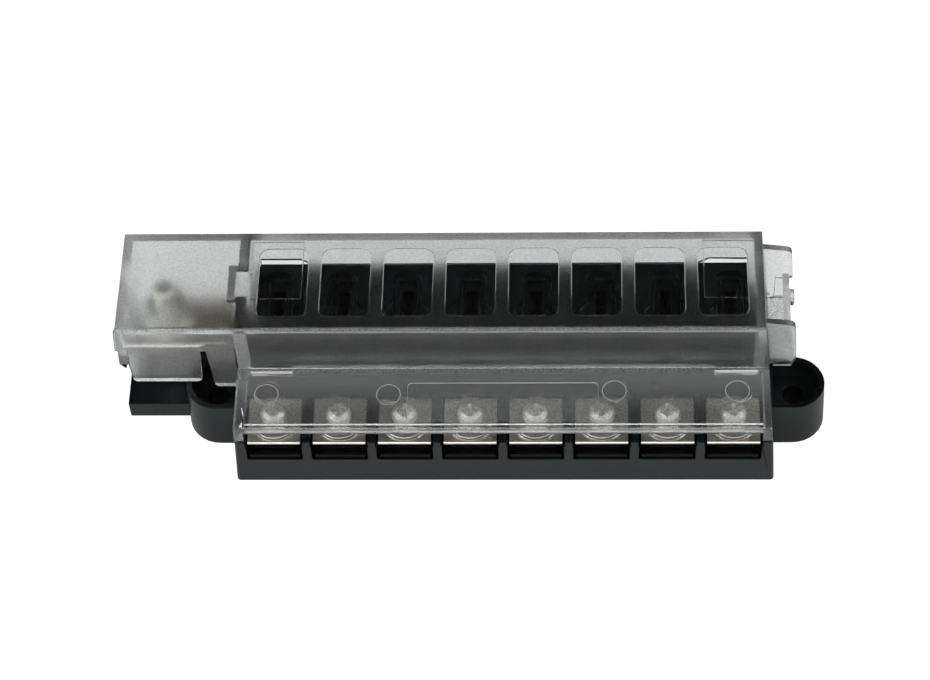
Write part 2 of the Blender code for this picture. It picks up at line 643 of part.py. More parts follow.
def make_terminal_hardware(steel, nickel):
    """Flat washer, spring washer, screw and clamp nut of each way, stacked upwards from the plate."""
    washer_bottom = plate_top() + GAP
    spring_bottom = washer_bottom + WASHER_THICKNESS + GAP
    head_bottom = spring_bottom + SPRING_THICKNESS + GAP
    bore = SCREW_RADIUS + GAP
    washer = turned("flat_washer_1", ring_profile(bore, WASHER_RADIUS, WASHER_THICKNESS), 24)
    washer.location = (0, SCREW_Y, washer_bottom)
    repeat(finish(washer, nickel), "flat_washer")

    spring = split_ring("spring_washer_1", bore, SPRING_RADIUS, SPRING_THICKNESS, 12)
    spring.location = (0, SCREW_Y, spring_bottom)
    repeat(finish(spring, steel), "spring_washer")

    tip = NUT_POCKET_FLOOR + GAP - head_bottom
    profile = [
        (SCREW_RADIUS - SCREW_CHAMFER, tip), (SCREW_RADIUS, tip + SCREW_CHAMFER),
        (SCREW_RADIUS, 0), (HEAD_RADIUS, 0),
    ]
    profile += [(share * HEAD_RADIUS, rise * HEAD_HEIGHT) for share, rise in HEAD_ROUNDING]
    screw = spindle("terminal_screw_1", profile, 18)
    screw.location = (0, SCREW_Y, head_bottom)
    mouth, floor = HEAD_HEIGHT + WALL_LAP, HEAD_HEIGHT - CROSS_DEPTH
    cross = [
        [(x, y, floor) for x, y in cross_outline(*CROSS_FLOOR)],
        [(x, y, mouth) for x, y in cross_outline(*CROSS_MOUTH)],
    ]
    recess = skin("cross_recess", [cross])
    recess.location = screw.location
    boolean(screw, recess, "DIFFERENCE")
    repeat(finish(settle(screw), steel), "terminal_screw")

    half = NUT_POCKET_WIDTH / 2 - GAP
    long_half = CLAMP_NUT_LENGTH / 2
    nut = skin("clamp_nut_1", [box(-half, half, -long_half, long_half, 0, CLAMP_NUT_THICKNESS)], helper=False)
    nut.location = (0, SCREW_Y, SEAT_HEIGHT - CLAMP_NUT_THICKNESS)
    hole = skin("nut_hole", [up(circle((0, 0), bore, 12), -WALL_LAP, CLAMP_NUT_THICKNESS + WALL_LAP)])
    hole.location = nut.location
    boolean(nut, hole, "DIFFERENCE")
    repeat(finish(settle(nut), steel), "clamp_nut")


def cross_outline(reach, half_width):
    """A plus sign: the driver recess of a screw head."""
    a, b = reach, half_width
    arm = [(a, -b), (a, b), (b, b)]
    return [(x * c - y * s, x * s + y * c) for c, s in ((1, 0), (0, 1), (-1, 0), (0, -1)) for x, y in arm]


def make_feed_stud(steel, nickel):
    """The stud comes up through the base and the bar, and its nut clamps the supply lug on two washers."""
    head_bottom = STUD_HEAD_TOP - STUD_HEAD_HEIGHT
    profile = [
        (STUD_HEAD_RADIUS, head_bottom), (STUD_HEAD_RADIUS, STUD_HEAD_TOP), (STUD_RADIUS, STUD_HEAD_TOP),
        (STUD_RADIUS, STUD_TOP - STUD_CHAMFER), (STUD_RADIUS - STUD_CHAMFER, STUD_TOP),
    ]
    stud = spindle("feed_stud", profile, 24)
    stud.location = (STUD_X, STUD_Y, 0)
    finish(stud, steel)

    bore = STUD_RADIUS + GAP
    height = BAR_BOTTOM + BAR_THICKNESS + GAP
    washer = turned("feed_flat_washer", ring_profile(bore, STUD_WASHER_RADIUS, STUD_WASHER_THICKNESS), 32)
    washer.location = (STUD_X, STUD_Y, height)
    finish(washer, nickel)

    height += STUD_WASHER_THICKNESS + GAP
    spring = split_ring("feed_spring_washer", bore, STUD_SPRING_RADIUS, STUD_SPRING_THICKNESS, 20)
    spring.location = (STUD_X, STUD_Y, height)
    finish(spring, steel)

    height += STUD_SPRING_THICKNESS + GAP
    flange = [
        (bore, 0), (NUT_FLANGE_RADIUS, 0), (NUT_FLANGE_RADIUS, NUT_FLANGE_THICKNESS / 2),
        (NUT_ACROSS_FLATS / 2 - WALL_LAP, 2 * NUT_FLANGE_THICKNESS), (bore, 2 * NUT_FLANGE_THICKNESS),
    ]
    nut = turned("feed_nut", flange, 32)
    nut.location = (STUD_X, STUD_Y, height)
    corner = NUT_ACROSS_FLATS / math.sqrt(3)
    hexagon = skin("hexagon", [up(circle((0, 0), corner, 6), NUT_FLANGE_THICKNESS, NUT_HEIGHT)])
    through = up(circle((0, 0), bore, 32), NUT_FLANGE_THICKNESS / 2, NUT_HEIGHT + WALL_LAP)
    bore_cutter = skin("nut_bore", [through])
    for helper, operation in ((hexagon, "UNION"), (bore_cutter, "DIFFERENCE")):
        helper.location = nut.location
        boolean(nut, helper, operation)
    finish(settle(nut), steel)


def cover_right(z):
    """Outer face of the cover's right wall, which leans outwards towards its foot, as do the next three."""
    return COVER_RIGHT + (ROOF_TOP - z) * SIDE_DRAFT


def partition_left(z):
    return PARTITION_LEFT - (ROOF_TOP - z) * PARTITION_DRAFT


def feed_left(z):
    return -BODY_SIDE - FEED_LENGTH - (ROOF_TOP - z) * PARTITION_DRAFT


def cover_rear(z):
    return COVER_REAR + (ROOF_TOP - z) * REAR_DRAFT


def hood_inside(foot, flap):
    """Inner outline of the hood in y and z, with the space under the terminal flap or without it."""
    ceiling = ROOF_TOP - ROOF_THICKNESS
    outline = [
        (cover_rear(foot) - REAR_WALL, foot, 0), (cover_rear(ceiling) - REAR_WALL, ceiling, INSIDE_CORNER),
        (COVER_FRONT + COVER_WALL, ceiling, INSIDE_CORNER),
    ]
    if not flap:
        return rounded(outline + [(COVER_FRONT + COVER_WALL, foot, 0)])
    under, front = FLAP_TOP - FLAP_THICKNESS, FLAP_FRONT + COVER_WALL
    return rounded(outline + [(COVER_FRONT + COVER_WALL, under, 0), (front, under, 0), (front, foot, 0)])


def cover_shell():
    """Fuse hood with its terminal flap, joined to the feed hood, both hollowed from below."""
    foot = BODY_HEIGHT + GAP
    hood = rounded([
        (FLAP_FRONT, foot, 0), (cover_rear(foot), foot, 0), (COVER_REAR, ROOF_TOP, COVER_EDGE),
        (COVER_FRONT, ROOF_TOP, COVER_EDGE), (COVER_FRONT, FLAP_TOP + ROOT_CHAMFER, 0),
        (COVER_FRONT - ROOT_CHAMFER, FLAP_TOP, 0), (FLAP_FRONT, FLAP_TOP, LIP_EDGE),
    ])
    cover = skin("cover", [along_x(hood, partition_left, cover_right)], helper=False)
    feed = rounded([
        (COVER_FRONT, FEED_WALL_BOTTOM, 0), (cover_rear(FEED_WALL_BOTTOM), FEED_WALL_BOTTOM, 0),
        (COVER_REAR, ROOF_TOP, COVER_EDGE), (COVER_FRONT, ROOF_TOP, COVER_EDGE),
    ])
    join(cover, "feed_hood", [along_x(feed, feed_left, lambda z: partition_left(z) + WALL_LAP)])

    below = FEED_WALL_BOTTOM - WALL_LAP
    body_side = -BODY_SIDE - SIDE_CLEARANCE
    clearance = box(body_side, PARTITION_LEFT + 4 * WALL_LAP, COVER_FRONT - WALL_LAP,
                    cover_rear(0) + WALL_LAP, below, foot + FIT_STEP)
    cut(cover, "body_clearance", [clearance])
    fuse_space = along_x(hood_inside(below, True), lambda z: partition_left(z) + FOOT_WIDTH,
                         lambda z: cover_right(z) - COVER_WALL)
    cut(cover, "fuse_space", [fuse_space])
    feed_space = along_x(hood_inside(below, False), lambda z: feed_left(z) + COVER_WALL, partition_left)
    cut(cover, "feed_space", [feed_space])
    return cover


def shape_hood(cover):
    """Openings of the fuse hood: wire mouth under the lip, rear above the tower, slots at the flap's root."""
    foot = BODY_HEIGHT + GAP
    left, right = partition_left(foot) + FOOT_WIDTH, cover_right(foot) - FOOT_WIDTH
    cut(cover, "wire_mouth", [box(left, right, FLAP_FRONT - WALL_LAP, FLAP_FRONT + 2 * COVER_WALL,
                                  foot - WALL_LAP, FLAP_TOP - LIP_HEIGHT)])
    tower_half = TOWER_WIDTH / 2 + GAP
    low, high = TOWER_HEIGHT + GAP, TOWER_HEIGHT + GAP + NOTCH_RISE
    inner = tower_half - NOTCH_LENGTH
    half = [(tower_half, foot - WALL_LAP), (tower_half, high), (inner, high), (inner - NOTCH_SLANT, low)]
    opening = half + [(-x, z) for x, z in reversed(half)]
    front = cover_rear(ROOF_TOP) - 2 * COVER_WALL
    cut(cover, "rear_opening", [along_y(opening, front, cover_rear(0) + WALL_LAP)])
    slot_end = BODY_SIDE - ROOT_SLOT_INSET
    slot_rear = COVER_FRONT - 2 * GAP
    slots = [box(x, x + ROOT_SLOT_LENGTH, slot_rear - ROOT_SLOT_WIDTH, slot_rear,
                 FLAP_TOP - FLAP_THICKNESS - WALL_LAP, FLAP_TOP + 2 * ROOT_CHAMFER)
             for x in (-slot_end, slot_end - ROOT_SLOT_LENGTH)]
    cut(cover, "root_slots", slots)

    jog = box(JOG_LEFT, PARTITION_LEFT + WALL_LAP, JOG_FRONT, JOG_FRONT + JOG_LENGTH,
              foot, ROOF_TOP - WALL_LAP)
    join(cover, "jog_shape", [jog])
    rear = JOG_FRONT + JOG_LENGTH - JOG_WALL
    inside = box(JOG_LEFT + JOG_WALL, PARTITION_LEFT + 2 * COVER_WALL, JOG_FRONT + JOG_WALL, rear,
                 foot - WALL_LAP, ROOF_TOP - ROOF_THICKNESS)
    cut(cover, "jog_inside", [inside])


def shape_feed_hood(cover):
    """Knock-out skirts across the cable entry, the side entry, and the pad on the left front corner."""
    below = FEED_WALL_BOTTOM - WALL_LAP
    side_inner = feed_left(UPPER_WALL_BOTTOM) + COVER_WALL + FIT_STEP
    front = COVER_FRONT - WALL_LAP
    front_entry = box(side_inner, partition_left(UPPER_WALL_BOTTOM) - GAP, front,
                      COVER_FRONT + COVER_WALL + WALL_LAP, below, UPPER_WALL_BOTTOM)
    side_entry = box(feed_left(0) - WALL_LAP, side_inner + WALL_LAP, front,
                     COVER_FRONT + SIDE_ENTRY_LENGTH, below, SIDE_ENTRY_TOP)
    cut(cover, "front_entry", [front_entry])
    cut(cover, "side_entry", [side_entry])
    body_side = -BODY_SIDE - SIDE_CLEARANCE
    foot = BODY_HEIGHT + GAP + FIT_STEP
    left, top, right = side_inner + GAP, UPPER_WALL_BOTTOM + WALL_LAP, PARTITION_LEFT - FIT_STEP
    edge = left - LEFT_SKIRT_REACH
    skirts = rounded([
        (edge + LEFT_SKIRT_TAPER, LEFT_SKIRT_BOTTOM, SKIRT_CORNER), (-SPLIT_LEFT, LEFT_SKIRT_BOTTOM, SKIRT_CORNER),
        (SPLIT_TAPER - SPLIT_LEFT, SPLIT_TOP, SPLIT_CORNER),
        (-SPLIT_RIGHT - SPLIT_TAPER, SPLIT_TOP, SPLIT_CORNER),
        (-SPLIT_RIGHT, RIGHT_SKIRT_BOTTOM, SKIRT_CORNER), (body_side, RIGHT_SKIRT_BOTTOM, 0),
        (body_side, foot, 0), (right, foot, 0), (right, top, 0), (left - WALL_LAP, top, 0),
        (left - WALL_LAP, SIDE_ENTRY_TOP + GAP, 0), (edge, SIDE_ENTRY_TOP + GAP, 0),
    ])
    front = COVER_FRONT + SKIRT_SETBACK
    join(cover, "skirts_shape", [along_y(skirts, front, front + SKIRT_THICKNESS)])
    pad_top = ROOF_TOP - COVER_EDGE
    root = feed_left(ROOF_TOP) + WALL_LAP
    pad = [
        (feed_left(PAD_BOTTOM) - PAD_REACH[1], PAD_BOTTOM), (root, PAD_BOTTOM),
        (root, pad_top), (feed_left(pad_top) - PAD_REACH[0], pad_top),
    ]
    join(cover, "pad_shape", [along_y(pad, COVER_FRONT + GAP, COVER_FRONT + PAD_LENGTH)])


def wing_right(z):
    return WING_RIGHT + (REAR_WING_TOP - z) * WING_DRAFT


def add_wings(cover):
    """The open wire shroud on the right: two upright walls tied by a low side wall with a catch."""
    foot = BODY_HEIGHT + GAP + FIT_STEP
    body_side = BODY_SIDE + SIDE_CLEARANCE
    root_low, root_high = cover_right(foot) - WALL_LAP, cover_right(REAR_WING_TOP) - WALL_LAP
    ear_top = EAR_HEIGHT + GAP
    chamfer_top = ear_top + WING_CHAMFER[1]
    front = rounded([
        (root_low, foot, 0), (body_side, foot, 0), (body_side, ear_top, 0),
        (wing_right(ear_top) - WING_CHAMFER[0], ear_top, 0), (wing_right(chamfer_top), chamfer_top, 0),
        (wing_right(FRONT_WING_TOP), FRONT_WING_TOP, WING_CORNER), (root_high, FRONT_WING_TOP + WING_SLOPE, 0),
    ])
    join(cover, "front_wing", [along_y(front, WING_FRONT, WING_FRONT + WING_WALL)])
    step = body_side + WALL_LAP
    rear = rounded([
        (root_low, foot, 0), (body_side, foot, 0), (body_side, REAR_WING_BOTTOM, 0),
        (step, REAR_WING_BOTTOM, 0), (step, WING_SIDE_TOP, 0),
        (wing_right(WING_SIDE_TOP), WING_SIDE_TOP, 0),
        (WING_RIGHT, REAR_WING_TOP, WING_CORNER), (root_high, REAR_WING_TOP + WING_SLOPE, 0),
    ])
    join(cover, "rear_wing", [along_y(rear, WING_REAR - WING_WALL, WING_REAR)])
    web_right = wing_right(REAR_WING_BOTTOM) - TIE_INSET - GAP
    web = box(step - WALL_LAP, web_right, WING_REAR - WING_WEB, WING_REAR - FIT_STEP,
              REAR_WING_BOTTOM + FIT_STEP, WING_SIDE_TOP + WALL_LAP)
    join(cover, "wing_web", [web])
    low, high = foot + WALL_LAP, WING_SIDE_TOP + 2 * WALL_LAP
    tie = [(wing_right(low) - TIE_INSET - WING_WALL, low), (wing_right(low) - TIE_INSET, low),
           (wing_right(high) - TIE_INSET, high), (wing_right(high) - TIE_INSET - WING_WALL, high)]
    join(cover, "wing_tie", [along_y(tie, WING_FRONT + GAP, WING_REAR - GAP)])
    catch_front = WING_FRONT + CATCH_SETBACK
    right = wing_right(WING_SIDE_TOP) - TIE_INSET
    catch = box(right - WALL_LAP, right + CATCH_REACH, catch_front, catch_front + CATCH_SIZE,
                WING_SIDE_TOP - CATCH_SIZE, WING_SIDE_TOP)
    join(cover, "wing_catch", [catch])


def mark_cover(cover):
    """Shallow marks of the mould: fuse windows in the roof, the label field and ejector rings in the flap."""
    windows = []
    for i in range(WAYS):
        x = (i - (WAYS - 1) / 2) * WINDOW_PITCH
        x0, x1 = x - WINDOW_WIDTH / 2, x + WINDOW_WIDTH / 2
        rear = WINDOW_FRONT + WINDOW_LENGTH
        window = rounded([
            (x0, WINDOW_FRONT, WINDOW_FRONT_CORNER), (x1, WINDOW_FRONT, WINDOW_FRONT_CORNER),
            (x1, rear, WINDOW_REAR_CORNER), (x0, rear, WINDOW_REAR_CORNER),
        ])
        windows.append(up(window, ROOF_TOP - WINDOW_DEPTH, ROOF_TOP + WALL_LAP))
    cut(cover, "windows", windows)
    label = centred(0, LABEL_FRONT + LABEL_LENGTH / 2, LABEL_WIDTH, LABEL_LENGTH, LABEL_CORNER)
    cut(cover, "label_field", [up(label, FLAP_TOP - LABEL_DEPTH, FLAP_TOP + WALL_LAP)])
    under, ceiling = FLAP_TOP - FLAP_THICKNESS, ROOF_TOP - ROOF_THICKNESS
    marks, inserts = [], []
    for side in (-1, 1):
        for inset in PIN_MARK_INSETS:
            mark = circle((side * (BODY_SIDE - inset), PIN_MARK_Y), PIN_MARK_RADIUS, 24)
            marks.append(up(mark, under - WALL_LAP, under + PIN_MARK_DEPTH))
        outer = side * (BODY_SIDE - 2 * COVER_WALL - FIT_STEP)
        low, high = sorted((outer, outer - side * INSERT_WIDTH))
        inserts.append(box(low, high, INSERT_FRONT, COVER_REAR - REAR_WALL - WALL_LAP,
                           ceiling - WALL_LAP, ceiling + INSERT_DEPTH))
    cut(cover, "pin_marks", marks)
    cut(cover, "insert_marks", inserts)


def make_cover(clear):
    cover = cover_shell()
    shape_hood(cover)
    shape_feed_hood(cover)
    add_wings(cover)
    mark_cover(cover)
    finish(settle(cover), clear)


def settle(obj):
    """Turns an object's modifiers into its mesh, and removes the shapes that they used."""
    bpy.context.view_layer.update()
    graph = bpy.context.evaluated_depsgraph_get()
    mesh = bpy.data.meshes.new_from_object(obj.evaluated_get(graph))
    mesh.name = obj.name
    helpers = [step.object for step in obj.modifiers]
    obj.modifiers.clear()
    obj.data = mesh
    for helper in helpers:
        bpy.data.objects.remove(helper, do_unlink=True)
    return obj


clear_scene()
FRAME = make_frame()
BLACK = material("black_moulding", (0.022, 0.026, 0.028), 0.45)
CLEAR = material("clear_moulding", (0.82, 0.86, 0.85), 0.3, transmission=0.9)
NICKEL = material("nickel_plate", (0.62, 0.60, 0.55), 0.28, metallic=1.0)
STEEL = material("zinc_steel", (0.56, 0.56, 0.54), 0.35, metallic=1.0)
BRASS = material("bar_brass", (0.50, 0.38, 0.20), 0.4, metallic=1.0)

make_base(BLACK)
make_bus_bar(BRASS)
make_terminals(NICKEL)
make_input_clips(BRASS)
make_terminal_hardware(STEEL, NICKEL)
make_feed_stud(STEEL, NICKEL)
make_cover(CLEAR)
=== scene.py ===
# %% [markdown]
# # An eight-way fuse block under a clear cover
# The block is a black moulding with a row of screw terminals in front and a tower of fuse seats behind. A
# clear plastic cover drops over both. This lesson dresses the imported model: the shapes of the rigid
# pieces come from the frame, and each step gives one of them its real edges, its finish and its light.

import math

import bmesh
import bpy
from mathutils import Matrix, Vector
from mathutils.bvhtree import BVHTree


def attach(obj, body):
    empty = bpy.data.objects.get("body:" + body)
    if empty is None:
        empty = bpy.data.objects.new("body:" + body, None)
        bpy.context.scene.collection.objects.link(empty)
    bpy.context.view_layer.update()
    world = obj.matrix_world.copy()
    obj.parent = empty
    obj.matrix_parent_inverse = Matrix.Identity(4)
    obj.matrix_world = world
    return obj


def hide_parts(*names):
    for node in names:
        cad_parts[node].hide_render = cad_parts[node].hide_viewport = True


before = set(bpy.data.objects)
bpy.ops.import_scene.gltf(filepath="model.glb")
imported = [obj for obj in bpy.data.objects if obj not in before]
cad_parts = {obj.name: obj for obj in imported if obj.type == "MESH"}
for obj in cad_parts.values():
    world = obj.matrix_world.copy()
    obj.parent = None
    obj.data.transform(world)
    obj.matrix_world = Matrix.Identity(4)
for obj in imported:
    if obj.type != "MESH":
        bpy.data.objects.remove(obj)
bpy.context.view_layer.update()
scene = bpy.context.scene
MM = 0.001
print("nodes:", len(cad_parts))

# %% [markdown]
# ## The camera
# The block was seen from the front and well above, through a long lens, turned a few degrees and rolled.
# A camera could be aimed with a Track To constraint, but a roll is easier to state with three angles: the
# view direction comes from yaw and pitch, and the roll then turns the right and up vectors about it.

# %% Place the camera
CAMERA_PLACE = Vector((0.0221, -0.3912, 0.6021))
YAW, PITCH_DOWN, ROLL = (math.radians(angle) for angle in (4.53, 55.385, -3.89))
FOCAL_LENGTH = 110.8  # mm, on a sensor 36 mm wide

forward = Vector((
    -math.sin(YAW) * math.cos(PITCH_DOWN), math.cos(YAW) * math.cos(PITCH_DOWN), -math.sin(PITCH_DOWN),
))
level = Vector((math.cos(YAW), math.sin(YAW), 0))
upright = level.cross(forward)
right = math.cos(ROLL) * level + math.sin(ROLL) * upright
up = math.cos(ROLL) * upright - math.sin(ROLL) * level
camera_data = bpy.data.cameras.new("camera")
camera_data.lens = FOCAL_LENGTH
camera = bpy.data.objects.new("camera", camera_data)
scene.collection.objects.link(camera)
camera.matrix_world = Matrix.Translation(CAMERA_PLACE) @ Matrix((right, up, -forward)).transposed().to_4x4()
scene.camera = camera
print("distance to the block:", round(CAMERA_PLACE.length, 3), "m")

# %% [markdown]
# ## Node helpers
# Every finish below is a small node graph. Building one by hand means many lines of creating, setting and
# linking, so `add` makes a node and fills its sockets in one call: a socket given as a value is linked,
# and anything else becomes the input's default.

# %% Helpers that make and fill nodes
def fill(tree, inputs, name, value):
    """Links a socket to the named input, or sets anything else as its value."""
    if isinstance(value, bpy.types.NodeSocket):
        tree.links.new(value, inputs[name])
    else:
        inputs[name].default_value = value


def add(tree, kind, inputs=None, **settings):
    node = tree.nodes.new("ShaderNode" + kind)
    for name, value in settings.items():
        setattr(node, name, value)
    for name, value in (inputs or {}).items():
        fill(tree, node.inputs, name, value)
    return node


def wire(tree, shader, **inputs):
    """Fills the shader's own sockets, named with _ for a space."""
    for name, value in inputs.items():
        fill(tree, shader.inputs, name.replace("_", " "), value)


def new_finish(name):
    """A material, its node tree, its Principled shader and the piece's own coordinates in metres."""
    finish = bpy.data.materials.new(name)
    finish.use_nodes = True
    tree = finish.node_tree
    shader = tree.nodes["Principled BSDF"]
    place = add(tree, "TexCoord").outputs["Object"]
    return finish, tree, shader, place


print("node helpers ready")

# %% [markdown]
# Four short helpers then cover what the finishes are made of. A noise is the grain of a surface. Its
# values crowd round the middle, so they are spread out before they move a colour, a roughness or a
# relief.

# %% Helpers for grain, colour and relief
def grain(tree, place, size, detail=2.0, stretch=(1, 1, 1)):
    """Noise whose features are about this size, in metres, drawn out where stretch is under 1."""
    mapped = add(tree, "Mapping", {"Vector": place, "Scale": stretch})
    noise = add(tree, "TexNoise", {"Vector": mapped.outputs["Vector"], "Scale": 1 / size, "Detail": detail})
    return noise.outputs["Fac"]


def spread(tree, value, low, high, start=0.3, end=0.7):
    """Takes the values from start to end, such as the middle of a noise, to those from low to high."""
    return add(tree, "MapRange", {
        "Value": value, "From Min": start, "From Max": end, "To Min": low, "To Max": high,
    }).outputs["Result"]


def relief(tree, height, depth, strength):
    """Tilts the shading as if the surface rose and fell by the depth, in metres."""
    return add(tree, "Bump", {"Height": height, "Distance": depth, "Strength": strength}).outputs["Normal"]


def tint(tree, amount, dark, light):
    """A colour between two, by a value from 0 to 1."""
    mix = add(tree, "Mix", data_type="RGBA")
    tree.links.new(amount, mix.inputs["Factor"])
    mix.inputs[6].default_value = (*dark, 1)
    mix.inputs[7].default_value = (*light, 1)
    return mix.outputs[2]


print("surface helpers ready")

# %% [markdown]
# ## Black moulding
# The base is a glass-filled plastic, moulded in a spark-eroded tool: nearly black, semi-matt, with a very
# fine grain and a slightly uneven gloss where the flow fronts met. One flat colour would read as paint,
# so a slow noise moves the roughness and a fine one lifts the surface by a few microns.

# %% The black moulding
FLOW_SIZE = 14 * MM
GRAIN_SIZE, GRAIN_DEPTH, GRAIN_STRENGTH = 0.35 * MM, 0.012 * MM, 0.6

black, tree, shader, place = new_finish("black_moulding")
flow = grain(tree, place, FLOW_SIZE, 3)
wire(
    tree, shader,
    Base_Color=tint(tree, spread(tree, flow, 0, 1), (0.0016, 0.0024, 0.0026), (0.0028, 0.0040, 0.0042)),
    Roughness=spread(tree, flow, 0.27, 0.34),
    Specular_Tint=(0.86, 1.0, 1.0, 1),
    Normal=relief(tree, grain(tree, place, GRAIN_SIZE), GRAIN_DEPTH, GRAIN_STRENGTH),
)
print("finish:", black.name)

# %% [markdown]
# The wells and their sills lie in shade, so the same plastic is given a darker colour there as painted
# shade. A lower refractive index than the plastic's own takes most of its shine, as painted shade too.

# %% The painted shade of the wells
WELL_PATCH = 3 * MM

well_painted_shade, tree, shader, place = new_finish("black_moulding_well_painted_shade")
patch = spread(tree, grain(tree, place, WELL_PATCH), 0, 1)
wire(
    tree, shader,
    Base_Color=tint(tree, patch, (0.0006, 0.0009, 0.001), (0.0014, 0.002, 0.0021)),
    Roughness=0.4,
    IOR=1.22,
    Normal=relief(tree, grain(tree, place, GRAIN_SIZE), GRAIN_DEPTH, GRAIN_STRENGTH),
)
print("finish:", well_painted_shade.name)

# %% [markdown]
# ## Clear moulding
# The cover is clear polycarbonate. Its outer faces were eroded in the tool, so they are frosted and blur
# what lies under them, while the windows and the inside were polished, and the label's field nearly so.
# All are the same plastic with another roughness, so one function can make them from a few numbers. A
# fine noise gives the speckle of moulded frosting, in the colour and as a faint relief.

# %% A clear finish
CLEAR_TINT = (0.955, 0.972, 0.968)
CLEAR_TINT_LIGHT = (0.965, 0.982, 0.978)
CLOUD_SIZE = 9 * MM


def clear_finish(name, rough, clearness, size, depth, speckle):
    """Grain size and depth are in millimetres. Speckle is how light the dark grains stay, from 0 to 1."""
    finish, tree, shader, place = new_finish(name)
    cloud = grain(tree, place, CLOUD_SIZE, 3)
    texture = grain(tree, place, size * MM, 1.5)
    dark = [part * speckle for part in CLEAR_TINT]
    wire(
        tree, shader,
        Base_Color=tint(tree, spread(tree, texture, 0, 1, 0.4, 0.58), dark, CLEAR_TINT_LIGHT),
        Transmission_Weight=clearness,
        IOR=1.5,
        Roughness=spread(tree, cloud, 0.9 * rough, 1.1 * rough),
        Normal=relief(tree, texture, depth * MM, 0.6),
    )
    return finish, tree, shader, place


print("grain of clear plastic: clouds of", round(CLOUD_SIZE / MM), "mm and a finer speckle")

# %% [markdown]
# Eight finishes share that function. Frosted is the outside and polished the windows and the inside. The
# flap and its label field have their own. Cut feet are rough edges. Their rims, and the slot's wall at the
# flap's root, are a pale edge that lets nothing through: painted light, for the light that clear plastic
# carries out at its edges. The root band is hazier plastic along the bends at the flap's root and the
# roof's front, a painted highlight. Fine moulded lines are marks, whose haze is a painted highlight along
# them.

# %% The clear finishes
FROSTED_CLEARNESS = 0.996
FLAP_CLEARNESS, FLAP_REAR_CLEARNESS = 0.965, 0.86
CLEAR_NUMBERS = {  # roughness, clearness, grain size and depth, speckle
    "frosted": (0.37, FROSTED_CLEARNESS, 0.6, 0.016, 0.78),
    "polished": (0.02, 1.0, 4.0, 0.01, 0.98),
    "flap": (0.2, FLAP_CLEARNESS, 0.5, 0.014, 0.62),
    "edge": (0.9, 1.0, 0.8, 0.01, 0.96),
    # painted light: opaque and pale where clear plastic carries light out at its edges
    "painted_light_edge": (0.6, 0.0, 0.8, 0.01, 0.95),
    # painted highlight: hazier along the bends at the flap's root and the roof's front
    "root": (0.35, 0.87, 0.6, 0.016, 0.55),
    "label": (0.08, 0.9, 0.5, 0.006, 0.7),
    # painted highlight: a pale haze along fine moulded lines
    "mark": (0.4, 0.6, 0.6, 0.01, 0.8),
}
clear_graphs = {name: clear_finish(f"clear_moulding_{name}", *CLEAR_NUMBERS[name]) for name in CLEAR_NUMBERS}
clear = {name: graph[0] for name, graph in clear_graphs.items()}
print("clear finishes:", ", ".join(clear))

# %% [markdown]
# Clear plastic seen along a wall looks paler than through it, because light that entered far away comes
# out there: at the ends of walls, above cut feet and round the step in the left wall. Path tracing finds
# little of that light, so these places get more haze, from a short table of boxes in the piece's own
# coordinates.

# %% Where the cover is paler
FRONT_WALL = -18.6 * MM  # where the front of the base lies in the frame
PALE_BOXES = (  # lowest and highest corner in mm, with y from the front of the base, and the haze
    ((-64.8, 17.6, 14.0), (-61.6, 18.6, 37.6), 0.26),  # left end of the front wall
    ((60.9, 17.6, 16.0), (63.6, 18.6, 37.6), 0.12),  # its right end
    ((-92.2, 17.6, 31.7), (-73.2, 18.2, 32.9), 0.75),  # foot of the feed hood's front
    ((-92.2, 17.6, 32.9), (-66.0, 18.2, 34.0), 0.14),  # and the strip above
    ((-95.0, 18.0, 17.7), (-73.0, 18.6, 31.7), 0.03),  # left skirt
    ((-72.6, 18.0, 15.5), (-65.5, 18.6, 31.7), 0.09),  # right skirt
    ((-61.6, 17.6, 35.2), (60.9, 18.2, 37.9), 0.03),  # under the roof's front edge
    ((-95.0, 18.0, 15.9), (-73.0, 18.6, 17.7), 0.95),  # foot of the left skirt
    ((-72.6, 18.0, 13.8), (-64.0, 18.6, 15.5), 0.95),  # foot of the right skirt
    ((64.6, 23.0, 14.4), (71.0, 26.0, 16.1), 0.9),  # foot of the shroud's front wall
    ((-66.9, 26.8, 38.0), (-64.6, 38.2, 39.2), 0.15),  # step in the wall beside the feed
    ((-64.7, 38.2, 38.0), (-62.7, 47.0, 39.2), 0.05),  # and that wall behind it
)
print("pale places on the cover:", len(PALE_BOXES))

# %% [markdown]
# A shader can't ask for a box, but it can compare: three comparisons, one for each axis, are 1 inside and
# 0 outside, and multiplied with the haze they give the haze of that box. The largest of all boxes counts.

# %% Haze in the pale places
def within(tree, value, low, high):
    middle, half = (low + high) / 2, (high - low) / 2
    return add(tree, "Math", {0: value, 1: middle, 2: half}, operation="COMPARE").outputs[0]


def pale_places(tree, place):
    """The haze of the box that a point lies in, or 0."""
    parts = add(tree, "SeparateXYZ", {"Vector": place}).outputs
    total = None
    for lowest, highest, haze in PALE_BOXES:
        inside = haze
        for part, low, high, shift in zip(parts, lowest, highest, (0, FRONT_WALL, 0)):
            near = within(tree, part, low * MM + shift, high * MM + shift)
            inside = add(tree, "Math", {0: near, 1: inside}, operation="MULTIPLY").outputs[0]
        if total is not None:
            inside = add(tree, "Math", {0: total, 1: inside}, operation="MAXIMUM").outputs[0]
        total = inside
    return total


_, tree, shader, place = clear_graphs["frosted"]
wire(tree, shader, Transmission_Weight=spread(tree, pale_places(tree, place), FROSTED_CLEARNESS, 0.0, 0, 1))
print("nodes of the frosted finish:", len(tree.nodes))
